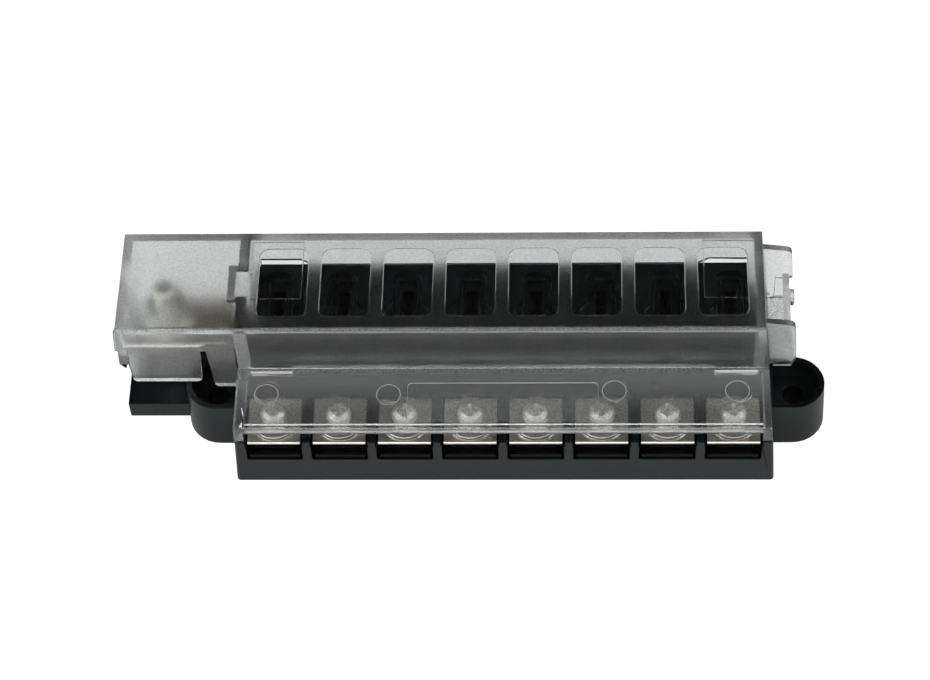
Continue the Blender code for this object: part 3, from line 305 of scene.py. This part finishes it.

# %% [markdown]
# Frosting blurs most what lies far below it. The screws reach up almost to the flap, while behind them
# there are only the plates and the moulding, lower down. So the flap looks hazier towards its rear, and
# nearer the hood it mirrors the hood's front wall. Its haze is made to grow that way, which a Map Range of
# one coordinate does, and the lighter rear is a painted reflection of that wall.

# %% The flap gets hazier to the rear, with a painted reflection
HAZE_START, HAZE_END = FRONT_WALL + 6 * MM, FRONT_WALL + 15 * MM
_, tree, shader, place = clear_graphs["flap"]
depth = add(tree, "SeparateXYZ", {"Vector": place}).outputs["Y"]
flap_haze_and_painted_reflection = spread(tree, depth, FLAP_CLEARNESS, FLAP_REAR_CLEARNESS, HAZE_START, HAZE_END)
wire(tree, shader, Transmission_Weight=flap_haze_and_painted_reflection)
print("the flap's clearness:", FLAP_CLEARNESS, "to", FLAP_REAR_CLEARNESS)

# %% [markdown]
# ## Metals
# The plates and flat washers are nickel on rolled strip, which keeps the lines of rolling: noise
# stretched along one axis, in the roughness and as a faint relief. Screws, nuts and stud are zinc, greyer
# and more even. The bus bar is bare brass, gone a little brown. The clips deep in the tower are tin, made
# far darker than tin as painted shade, for the shade of their pockets.

# %% The metals
LINE_SIZE, LINE_DEPTH, LINE_STRENGTH = 0.25 * MM, 0.004 * MM, 0.35
PATCH_SIZE = 3 * MM
EVEN, ROLLED, DRAWN = (1, 1, 1), (0.08, 1, 1), (0.06, 1, 1)


def metal_finish(name, dark, light, rough, stretch):
    finish, tree, shader, place = new_finish(name)
    lines = grain(tree, place, LINE_SIZE, 2, stretch)
    patch = grain(tree, place, PATCH_SIZE, 3)
    wire(
        tree, shader,
        Base_Color=tint(tree, spread(tree, patch, 0, 1), dark, light),
        Metallic=1.0,
        Roughness=spread(tree, lines, *rough),
        Normal=relief(tree, lines, LINE_DEPTH, LINE_STRENGTH),
    )
    return finish


nickel = metal_finish("nickel_plate", (0.66, 0.635, 0.585), (0.78, 0.755, 0.7), (0.26, 0.38), ROLLED)
steel = metal_finish("zinc_steel", (0.8, 0.79, 0.755), (0.93, 0.92, 0.88), (0.36, 0.5), EVEN)
screw_zinc = metal_finish("screw_zinc", (0.84, 0.83, 0.79), (0.95, 0.94, 0.9), (0.5, 0.64), EVEN)
brass = metal_finish("bar_brass", (0.36, 0.29, 0.17), (0.48, 0.4, 0.25), (0.26, 0.4), DRAWN)
clip_painted_shade_metal = metal_finish("clip_tin_painted_shade", (0.1, 0.095, 0.085), (0.16, 0.15, 0.135), (0.3, 0.45), DRAWN)
print("metals:", ", ".join(finish.name for finish in (nickel, steel, screw_zinc, brass, clip_painted_shade_metal)))

# %% [markdown]
# ## Copies of the frame's pieces
# The frame's solids have sharp edges, and a real moulding or a tumbled stamping has none: the thin line
# of light along each edge is what makes it look solid. The frame itself stays as it is, so each node is
# copied and the copy takes its place. Its flat triangles are paired into quads first. Whole flat faces
# would be lighter, but a face with many corners can fold over itself when its border moves inwards.

# %% Helpers that copy a node and hand in a piece
MERGE_DISTANCE = 0.002 * MM
FLAT_ANGLE = math.radians(0.5)


def copy_of(node):
    """The node's mesh as a bmesh, with points merged and flat pairs of triangles joined into quads."""
    bm = bmesh.new()
    bm.from_mesh(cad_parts[node].data)
    bmesh.ops.remove_doubles(bm, verts=bm.verts[:], dist=MERGE_DISTANCE)
    bmesh.ops.join_triangles(
        bm, faces=bm.faces[:], angle_face_threshold=FLAT_ANGLE, angle_shape_threshold=math.pi,
    )
    bmesh.ops.recalc_face_normals(bm, faces=bm.faces[:])
    bm.normal_update()
    return bm


def piece_from(bm, name, body, slot, finishes, *replaced):
    """A piece of the scene that rides on a body, and takes the place of a node where one is named."""
    mesh = bpy.data.meshes.new(name)
    bm.to_mesh(mesh)
    bm.free()
    for finish in finishes:
        mesh.materials.append(finish)
    piece = bpy.data.objects.new(name, mesh)
    scene.collection.objects.link(piece)
    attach(piece, body)
    if replaced:
        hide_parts(*replaced)
    return piece


print("copy helpers ready")

# %% [markdown]
# ## Rounded edges
# A Bevel modifier rounds every edge that turns by more than an angle. Smooth shading then needs care:
# Blender blends the normals of all faces that meet in a point, so a small bevel would tilt the shading of
# the large flat face beside it, and clear plastic would bend the view like old window glass. The Weighted
# Normal modifier helps, but it weighs single faces, and a large flat area can come in many small ones. So
# each corner gets its own normal here, a mean in which a whole flat area counts by its squared size. The
# first step is to find the flat areas.

# %% A helper that measures flat areas
PATCH_ANGLE = math.radians(0.3)


def flat_areas(bm):
    """Numbers the flat patches, and gives each one's total area in square millimetres."""
    patch_of, totals = {}, []
    for first in bm.faces:
        if first in patch_of:
            continue
        patch_of[first] = len(totals)
        pending, total = [first], 0.0
        while pending:
            face = pending.pop()
            total += face.calc_area() / MM ** 2
            for edge in face.edges:
                for other in edge.link_faces:
                    if other not in patch_of and face.normal.angle(other.normal, 0) < PATCH_ANGLE:
                        patch_of[other] = len(totals)
                        pending.append(other)
        totals.append(total)
    return patch_of, totals


print("flat faces may differ by", round(math.degrees(PATCH_ANGLE), 1), "degrees")

# %% [markdown]
# Then the normals. Round a corner's point, faces belong together while each turns little from the one
# before, so the walk stops at a sharp edge and crosses a rounded one.

# %% A helper that weighs the normals
SMOOTH_ANGLE = math.radians(34)


def faces_round(corner, face):
    """The faces at the corner's point that can be reached from the face without crossing a sharp edge."""
    near, pending = [face], [face]  # a list, since the order of a set changes from run to run
    while pending:
        current = pending.pop()
        for edge in current.edges:
            if corner.vert not in edge.verts:
                continue
            for other in edge.link_faces:
                if other not in near and current.normal.angle(other.normal, 0) < SMOOTH_ANGLE:
                    near.append(other)
                    pending.append(other)
    return near


def corner_normals(bm):
    patch_of, totals = flat_areas(bm)
    normals = []
    for face in bm.faces:
        for corner in face.loops:
            patches = {patch_of[other]: other.normal for other in faces_round(corner, face)}
            mean = sum((normal * totals[patch] ** 2 for patch, normal in patches.items()), Vector())
            normals.append(mean.normalized() if mean.length > 0 else face.normal.copy())
    return normals


print("edges turning less than", round(math.degrees(SMOOTH_ANGLE)), "degrees are shaded smooth")

# %% [markdown]
# The bevel is applied at once, because the normals belong to the rounded mesh. Where only some edges are
# to be rounded, each of them carries a share of the width, and the modifier reads that instead of the
# angle.

# %% The helper that rounds a piece
EDGE_ANGLE = math.radians(28)
BEVEL_SEGMENTS = 2


def round_edges(piece, width, weighted=False):
    bevel = piece.modifiers.new("rounded edges", "BEVEL")
    bevel.width = width
    bevel.segments = BEVEL_SEGMENTS
    bevel.limit_method = "WEIGHT" if weighted else "ANGLE"
    bevel.angle_limit = EDGE_ANGLE
    bevel.use_clamp_overlap = False
    bevel.miter_outer = "MITER_ARC"
    bpy.context.view_layer.update()
    graph = bpy.context.evaluated_depsgraph_get()
    mesh = bpy.data.meshes.new_from_object(piece.evaluated_get(graph))
    piece.modifiers.clear()
    piece.data = mesh
    bm = bmesh.new()
    bm.from_mesh(mesh)
    bm.normal_update()
    normals = corner_normals(bm)
    bm.free()
    mesh.shade_smooth()
    mesh.normals_split_custom_set(normals)


print("bevel segments:", BEVEL_SEGMENTS)

# %% [markdown]
# ## The base
# One black moulding carries everything: wells, dividers, tower, ears and the feed platform. Its copy
# needs two small changes, a tower that ends further left and a feed pedestal that reaches further back.
# Moving the corners at that end before the rounding is simpler than modelling the end again.

# %% The base
TOWER_END, TOWER_GROWTH, TOWER_FOOT = -60.5 * MM, 1.3 * MM, 16.1 * MM
TOWER_STRIP = (TOWER_END - 0.5 * MM, TOWER_END + 1.3 * MM)
PEDESTAL_END, PEDESTAL_GROWTH, PEDESTAL_FOOT = -66 * MM, 2.2 * MM, 5.6 * MM
PEDESTAL_STRIP = (43.5 * MM, 44.8 * MM)  # from the front of the base

base_shape = copy_of("base_housing")
for vert in base_shape.verts:
    if TOWER_STRIP[0] < vert.co.x < TOWER_STRIP[1] and vert.co.z > TOWER_FOOT:
        vert.co.x -= TOWER_GROWTH
    at_the_rear = PEDESTAL_STRIP[0] < vert.co.y - FRONT_WALL < PEDESTAL_STRIP[1]
    if vert.co.x < PEDESTAL_END and at_the_rear and vert.co.z > PEDESTAL_FOOT:
        vert.co.y += PEDESTAL_GROWTH
base_shape.normal_update()
base = piece_from(
    base_shape, "base_moulding", "housing", "black_moulding", [black, well_painted_shade], "base_housing",
)
round_edges(base, 0.22 * MM)
print("base faces:", len(base.data.polygons))

# %% [markdown]
# The painted shade goes to the faces inside the wells. They all lie in one long box behind the front wall,
# so a test of each face's middle is enough.

# %% Painted shade on the faces in the wells
WELL_DEPTHS = (0.3 * MM, 3.3 * MM)  # from the front of the base
WELL_HEIGHTS = (8.8 * MM, 13.6 * MM)
WELLS_HALF = 64 * MM
in_wells = 0
for face in base.data.polygons:
    depth = face.center.y - FRONT_WALL
    low_enough = WELL_HEIGHTS[0] < face.center.z < WELL_HEIGHTS[1]
    if WELL_DEPTHS[0] < depth < WELL_DEPTHS[1] and low_enough and abs(face.center.x) < WELLS_HALF:
        face.material_index = 1
        in_wells += 1
print("faces in the wells:", in_wells)

# %% [markdown]
# ## The cover
# The copy is trimmed first: the roof's front edge is rounded less than in the solid, the step at the root
# of the flap is lower, and the front wall is thinner inside. Each is a move of the corners that lie in
# one strip, towards a known line.

# %% Trim the copy of the cover
ROOF_TOP = 38.9 * MM
FLAP_TOP = 22.0 * MM
WALL_FACE = FRONT_WALL + 17.9 * MM  # the outer face of the front wall
NEAR = 0.03 * MM
BROW_REACH, BROW_SHARE = 1.25 * MM, 0.5  # the roof's front edge
ROOT_REACH, ROOT_SHARE = 1.35 * MM, 0.35  # the step at the root of the flap
INNER_FACE = (1.95 * MM, 2.55 * MM)  # behind the outer face
WALL_THINNING = 0.7 * MM

shell = copy_of("cover")
for vert in shell.verts:
    behind, above = vert.co.y - WALL_FACE, vert.co.z - ROOF_TOP
    if behind < BROW_REACH and above > -BROW_REACH:
        vert.co.y, vert.co.z = WALL_FACE + BROW_SHARE * behind, ROOF_TOP + BROW_SHARE * above
    if INNER_FACE[0] < behind < INNER_FACE[1] and vert.co.z > FLAP_TOP + 2 * MM:
        vert.co.y -= WALL_THINNING
    rise = vert.co.z - FLAP_TOP
    if -ROOT_REACH < behind < NEAR and NEAR < rise < ROOT_REACH:
        vert.co.z = FLAP_TOP + ROOT_SHARE * rise
shell.normal_update()
print("corners of the cover:", len(shell.verts))

# %% [markdown]
# Only the outer edges are rounded. The inner ones are seen through the plastic, where each rounding would
# draw one more line. An edge is an outer one if a ray that leaves a face beside it, along the face's
# normal, gets away without meeting the cover again. That needs no list of edges, and the share goes into
# the layer that the Bevel modifier reads.

# %% Round the outer edges
COVER_ROUNDING, OUTER_SHARE = 0.44 * MM, 0.45
FEET_UNDER = 19.5 * MM


def looks_out(faces, middle, normal):
    return faces.ray_cast(middle + normal * NEAR, normal)[0] is None


def is_foot(middle, normal):
    """A face under a wall or skirt."""
    return normal.z < -0.5 and middle.z < FEET_UNDER


bevel_share = shell.edges.layers.float.new("bevel_weight_edge")
shell_faces = BVHTree.FromBMesh(shell)
outside = set()
for face in shell.faces:
    middle = face.calc_center_median_weighted()
    if looks_out(shell_faces, middle, face.normal) and not is_foot(middle, face.normal):
        outside.add(face)
for edge in shell.edges:
    turns = len(edge.link_faces) == 2 and edge.calc_face_angle() >= EDGE_ANGLE
    if turns and any(face in outside for face in edge.link_faces):
        edge[bevel_share] = OUTER_SHARE
cover = piece_from(shell, "clear_cover", "cover", "clear_moulding", clear.values(), "cover")
round_edges(cover, COVER_ROUNDING, weighted=True)
print("faces of the cover:", len(cover.data.polygons))

# %% [markdown]
# The same test tells frosted faces from polished ones. Some places are picked first, each by its height
# and the way that it faces: the label's field and its rim, the two bands along the flap's root and the
# roof's front edge, and the cut feet. The windows look outwards too, but their floors lie a little below
# the roof.

# %% Which face has which finish
WINDOW_DEPTH, LABEL_DEPTH = 0.25 * MM, 0.3 * MM
BROW_BAND, ROOT_BAND = 0.8 * MM, 0.7 * MM
SLOT_WALL, SLOT_BAND = 0.6 * MM, 0.6 * MM  # how far in front of the wall, and above the flap
LABEL_REACH = 50 * MM
SQUARE = 0.9  # from this part of its normal along an axis, a face counts as square to the axis

cover_faces = BVHTree.FromPolygons(
    [vert.co for vert in cover.data.vertices], [face.vertices for face in cover.data.polygons],
)


def finish_for(middle, normal):
    """The finish of a face, by where it lies and which way it faces."""
    on_flap = middle.y < WALL_FACE
    if on_flap and abs(middle.z - FLAP_TOP + LABEL_DEPTH) < NEAR and normal.z > SQUARE:
        return "label"
    # The walls of the label's field take the marks' painted highlight.
    in_field = abs(middle.x) < LABEL_REACH and FRONT_WALL + 3 * MM < middle.y < WALL_FACE - 2 * MM
    if in_field and abs(middle.z - FLAP_TOP + LABEL_DEPTH / 2) < LABEL_DEPTH / 2 and abs(normal.z) < SQUARE:
        return "mark"
    # Bands along the flap's root and the roof's front edge get a painted highlight.
    root = FLAP_TOP + NEAR < middle.z < FLAP_TOP + ROOT_BAND and middle.y < WALL_FACE + NEAR
    brow = middle.z > ROOF_TOP - BROW_BAND and middle.y < WALL_FACE + BROW_BAND
    if (root and normal.z > 0.5) or (brow and 0.2 < normal.z < 0.97):
        return "root"
    # The slot's wall and the rims of the feet are painted light, opaque and pale.
    slot_wall = abs(middle.y - WALL_FACE + SLOT_WALL) < NEAR and middle.z < FLAP_TOP + SLOT_BAND
    foot_rim = -0.95 < normal.z < -0.15 and middle.z < FEET_UNDER
    if (slot_wall and normal.y < -SQUARE) or (foot_rim and looks_out(cover_faces, middle, normal)):
        return "painted_light_edge"
    if is_foot(middle, normal):
        return "edge"
    if on_flap and middle.z < FLAP_TOP + NEAR and normal.z > 0.3:
        return "flap"
    window = abs(middle.z - ROOF_TOP + WINDOW_DEPTH) < NEAR and normal.z > SQUARE
    if normal.z > -0.5 and not window and looks_out(cover_faces, middle, normal):
        return "frosted"
    return "polished"


slots = {name: number for number, name in enumerate(clear)}
counts = dict.fromkeys(clear, 0)
for face in cover.data.polygons:
    choice = finish_for(face.center, face.normal)
    face.material_index = slots[choice]
    counts[choice] += 1
print("faces by finish:", counts)

# %% [markdown]
# ## A painted shadow in the side shroud
# Between the two walls of the open shroud at the right end of the cover, the floor lies in the block's
# shadow. A thin hazy sheet low down there is a painted shadow. It is a plain plate, so a cube, stretched
# between two corners and rounded, is all that it takes.

# %% The painted shadow sheet in the shroud
def box_mesh(lowest, highest):
    """A box as a bmesh, from its lowest to its highest corner."""
    bm = bmesh.new()
    size = [high - low for low, high in zip(lowest, highest)]
    middle = [(high + low) / 2 for low, high in zip(lowest, highest)]
    bmesh.ops.create_cube(bm, size=1, matrix=Matrix.Translation(middle) @ Matrix.Diagonal((*size, 1)))
    return bm


SHADOW_SHEET_LOWEST = (65.3 * MM, FRONT_WALL + 24.7 * MM, 15.3 * MM)
SHADOW_SHEET_HIGHEST = (69.9 * MM, FRONT_WALL + 43.5 * MM, 16.3 * MM)
shadow_sheet_shape = box_mesh(SHADOW_SHEET_LOWEST, SHADOW_SHEET_HIGHEST)
# A hazy sheet that paints the floor's shadow between the shroud's walls.
shadow_sheet = piece_from(shadow_sheet_shape, "shroud_painted_shadow_sheet", "cover", "clear_moulding", [clear["flap"]])
round_edges(shadow_sheet, 0.2 * MM)
print("shelf:", round(1000 * shadow_sheet.dimensions.x, 1), "by", round(1000 * shadow_sheet.dimensions.y, 1), "mm")

# %% [markdown]
# ## Plates, washers and screws
# Two pieces of the metal change shape a little before they are rounded. A plate's front lip leans back
# under its bend, so the lower a corner is, the further it moves. A screw head is domed: lower towards its
# rim, by the square of the distance from its axis, which is close to a shallow part of a ball.

# %% Helpers for lips and heads
LIP_BEND = 14.35 * MM  # height under which a plate's front lip leans back
LIP_REAR = FRONT_WALL + 2.4 * MM
LIP_LEAN = math.tan(math.radians(50))
SCREW_Y = FRONT_WALL + 7.5 * MM
HEAD_RIM, HEAD_RADIUS = 17.8 * MM, 3.3 * MM
DOME = 0.65 * MM  # how much lower a screw head is at its rim than in the solid


def lean_lip(strip):
    for vert in strip.verts:
        drop = LIP_BEND - vert.co.z
        if vert.co.y < LIP_REAR and drop > 0:
            vert.co.y += drop * LIP_LEAN


def dome_head(screw, middle):
    for vert in screw.verts:
        reach = math.hypot(vert.co.x - middle, vert.co.y - SCREW_Y)
        if vert.co.z > HEAD_RIM:
            vert.co.z -= DOME * (reach / HEAD_RADIUS) ** 2


print("a lip moves", round(LIP_LEAN, 2), "mm for each mm of height")

# %% [markdown]
# Every way has the same metal set. Its pieces are stamped or pressed, so they get a smaller rounding than
# the mouldings. They differ only in finish and width, and one table and one loop dress them all.

# %% The metal of each way
WAYS, PITCH = 8, 16.0 * MM
WAY_METAL = {  # finish, slot, rounding
    "terminal_strip": (nickel, "nickel_plate", 0.1 * MM),
    "flat_washer": (nickel, "nickel_plate", 0.1 * MM),
    "spring_washer": (steel, "zinc_steel", 0.08 * MM),
    "terminal_screw": (screw_zinc, "zinc_steel", 0.08 * MM),
}


def middle_of(way):
    """Where a way lies along the block, with the ways numbered from the left."""
    return (way - (WAYS + 1) / 2) * PITCH


for stem, (finish, slot, width) in WAY_METAL.items():
    for way in range(1, WAYS + 1):
        node = f"{stem}_{way}"
        body = f"screw_{way}" if stem == "terminal_screw" else "housing"
        metal = copy_of(node)
        if stem == "terminal_strip":
            lean_lip(metal)
        if stem == "terminal_screw":
            dome_head(metal, middle_of(way))
        round_edges(piece_from(metal, f"{node}_finished", body, slot, [finish], node), width)
print("pieces in the ways:", len(WAY_METAL) * WAYS)

# %% [markdown]
# ## The feed
# The supply comes in at the left: a stud with washers and a nut, on a brass bar that runs through the
# tower. Each is there once. The stud is shorter than the solid, and the bar follows the longer pedestal.

# %% The metal of the feed
STUD_SHORTENING, STUD_UPPER = 3.0 * MM, 30 * MM
FEED_METAL = {
    "bus_bar": (brass, "bar_brass"),
    "feed_stud": (steel, "zinc_steel"),
    "feed_nut": (steel, "zinc_steel"),
    "feed_flat_washer": (nickel, "nickel_plate"),
    "feed_spring_washer": (steel, "zinc_steel"),
}
for node, (finish, slot) in FEED_METAL.items():
    body = "feed_nut" if node == "feed_nut" else "housing"
    metal = copy_of(node)
    for vert in metal.verts:
        if node == "feed_stud" and vert.co.z > STUD_UPPER:
            vert.co.z -= STUD_SHORTENING
        if node == "bus_bar" and vert.co.x < PEDESTAL_END and vert.co.y > FRONT_WALL + 42.5 * MM:
            vert.co.y += PEDESTAL_GROWTH
    round_edges(piece_from(metal, f"{node}_finished", body, slot, [finish], node), 0.12 * MM)
print("pieces of the feed:", len(FEED_METAL))

# %% [markdown]
# ## Nuts and clips
# The clamp nuts and the input clips are hardly seen, deep in their pockets. Their own shapes from the
# frame are good enough there, and they get only a finish.

# %% Finish the nuts and clips
for way in range(1, WAYS + 1):
    # The clips' dark tin is painted shade.
    for stem, finish in (("clamp_nut", steel), ("input_clip", clip_painted_shade_metal)):
        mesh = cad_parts[f"{stem}_{way}"].data
        mesh.materials.clear()
        mesh.materials.append(finish)
print("nuts and clips:", 2 * WAYS)

# %% [markdown]
# ## Sills
# Each well of the base has a low sill just behind its front edge, with the wire's opening above it. It is
# a plain bar, so the box helper makes it too, and it takes the wells' painted shade. It reaches a little
# into the floor, so no gap shows.

# %% The sills of the wells
WELL_FLOOR = 8.9 * MM
SILL_HALF, SILL_FRONT, SILL_REAR, SILL_HEIGHT = 6.2 * MM, 0.5 * MM, 1.1 * MM, 1.6 * MM
SILL_SUNK = 0.2 * MM  # how far a sill reaches into the floor

for way in range(1, WAYS + 1):
    middle = middle_of(way)
    sill = piece_from(box_mesh(
        (middle - SILL_HALF, FRONT_WALL + SILL_FRONT, WELL_FLOOR - SILL_SUNK),
        (middle + SILL_HALF, FRONT_WALL + SILL_REAR, WELL_FLOOR + SILL_HEIGHT),
    ), f"well_sill_{way}", "housing", "black_moulding", [well_painted_shade])
    round_edges(sill, 0.15 * MM)
print("sills:", WAYS)

# %% [markdown]
# ## Ejector marks
# The flap carries four round marks, where pins pushed the cover out of its mould. Only the outline of
# such a mark catches light, so each is a very flat ring: a small profile, carried once round and joined
# to itself.

# %% The ejector marks of the flap
MARK_RADIUS, MARK_WIDTH, MARK_HEIGHT = 2.9 * MM, 0.11 * MM, 0.05 * MM
MARK_STEPS = 72
MARK_PLACES = (  # x, and depth from the front of the base
    (-57.7 * MM, 10.6 * MM), (-27.8 * MM, 10.5 * MM), (27.1 * MM, 11.5 * MM), (56.9 * MM, 11.4 * MM),
)
MARK_PROFILE = (  # outwards from the ring's middle line, and upwards
    (-MARK_WIDTH, 0), (-MARK_WIDTH / 2, MARK_HEIGHT), (MARK_WIDTH / 2, MARK_HEIGHT), (MARK_WIDTH, 0),
)


def ring_mesh(x, y, z):
    bm = bmesh.new()
    rows = []
    for step in range(MARK_STEPS):
        turn = 2 * math.pi * step / MARK_STEPS
        row = []
        for offset, height in MARK_PROFILE:
            radius = MARK_RADIUS + offset
            row.append(bm.verts.new((x + radius * math.cos(turn), y + radius * math.sin(turn), z + height)))
        rows.append(row)
    for step, row in enumerate(rows):
        following = rows[(step + 1) % MARK_STEPS]
        for number in range(len(row)):
            after = (number + 1) % len(row)
            bm.faces.new((row[number], following[number], following[after], row[after]))
    bmesh.ops.recalc_face_normals(bm, faces=bm.faces[:])
    return bm


for index, (x, depth) in enumerate(MARK_PLACES, 1):
    ring = ring_mesh(x, FRONT_WALL + depth, FLAP_TOP)
    # Each ring takes the marks' hazy finish, a painted highlight along its outline.
    mark = piece_from(ring, f"ejector_mark_{index}", "cover", "clear_moulding", [clear["mark"]])
    mark.data.shade_smooth()
print("ejector marks:", len(MARK_PLACES))

# %% [markdown]
# ## The floor
# The block lies on a white sweep, which is a plain diffuse floor that takes the shadow. A white lit by
# lamps alone would need so much light that the block washes out. So the floor also glows, with one
# strength for the camera's own rays, one for rays through the clear cover, and next to none for mirrored
# rays.

# %% The floor
FLOOR_HALF, FLOOR_DROP, FLOOR_GREY = 3.0, 0.05 * MM, 0.62
GLOW_DIRECT, GLOW_THROUGH, GLOW_MIRRORED = 0.75, 0.48, 0.02
bpy.ops.mesh.primitive_plane_add(size=2 * FLOOR_HALF, location=(0, 0, -FLOOR_DROP))
floor = bpy.context.object
floor.name = "white_floor"
floor_finish = bpy.data.materials.new("white_floor")
floor_finish.use_nodes = True
tree = floor_finish.node_tree
tree.nodes.clear()
path = add(tree, "LightPath")
mirrored = add(tree, "Math", {0: path.outputs["Is Glossy Ray"], 1: GLOW_MIRRORED}, operation="MULTIPLY")
through = add(tree, "Math", {
    0: path.outputs["Is Transmission Ray"], 1: GLOW_THROUGH, 2: mirrored.outputs[0],
}, operation="MULTIPLY_ADD")
direct = add(tree, "Math", {0: path.outputs["Is Camera Ray"], 1: GLOW_DIRECT}, operation="MULTIPLY")
strength = add(tree, "Math", {0: through.outputs[0], 1: direct.outputs[0]}, operation="MAXIMUM")
plain = add(tree, "BsdfDiffuse", {"Color": (FLOOR_GREY, FLOOR_GREY, FLOOR_GREY, 1)})
glow = add(tree, "Emission", {"Color": (1, 1, 1, 1), "Strength": strength.outputs[0]})
both = add(tree, "AddShader", {0: plain.outputs[0], 1: glow.outputs[0]})
add(tree, "OutputMaterial", {"Surface": both.outputs[0]})
floor.data.materials.append(floor_finish)
print("floor:", 2 * FLOOR_HALF, "m wide")

# %% [markdown]
# ## The world
# Behind the floor the camera sees plain white. Everything else gets only a faint fill from the world, so
# that the black moulding keeps its depth and the polished windows stay dark.

# %% The world
ROOM_FILL = 0.018
world = bpy.data.worlds.new("studio")
scene.world = world
world.use_nodes = True
tree = world.node_tree
tree.nodes.clear()
path = add(tree, "LightPath")
room = add(tree, "Background", {"Color": (1, 1, 1, 1), "Strength": ROOM_FILL})
white = add(tree, "Background", {"Color": (1, 1, 1, 1), "Strength": 1.0})
mix = add(tree, "MixShader", {0: path.outputs["Is Camera Ray"], 1: room.outputs[0], 2: white.outputs[0]})
add(tree, "OutputWorld", {"Surface": mix.outputs[0]})
print("world:", world.name)

# %% [markdown]
# ## The lamps
# Large soft lamps stand in front and at both sides, aimed at the block. They are wide, so their mirror
# images lie as long soft bands on the metal. Nothing bright stands behind, where the roof would mirror
# it.

# %% Three soft lamps
def softbox(name, place, size, power):
    lamp = bpy.data.lights.new(name, "AREA")
    lamp.shape = "RECTANGLE"
    lamp.size, lamp.size_y = size
    lamp.energy = power
    holder = bpy.data.objects.new(name, lamp)
    holder.location = place
    holder.rotation_euler = (-Vector(place)).to_track_quat("-Z", "Y").to_euler()
    scene.collection.objects.link(holder)


softbox("left_softbox", (-0.75, -0.25, 0.65), (0.6, 0.8), 7.0)
softbox("right_softbox", (0.75, -0.1, 0.65), (0.6, 0.8), 5.5)
softbox("front_softbox", (0.0, -0.9, 0.75), (1.2, 0.4), 5.0)

# %% [markdown]
# ## The view
# The Standard view transform shows colours as they are, without a film curve.

# %% Finish
scene.view_settings.view_transform = "Standard"
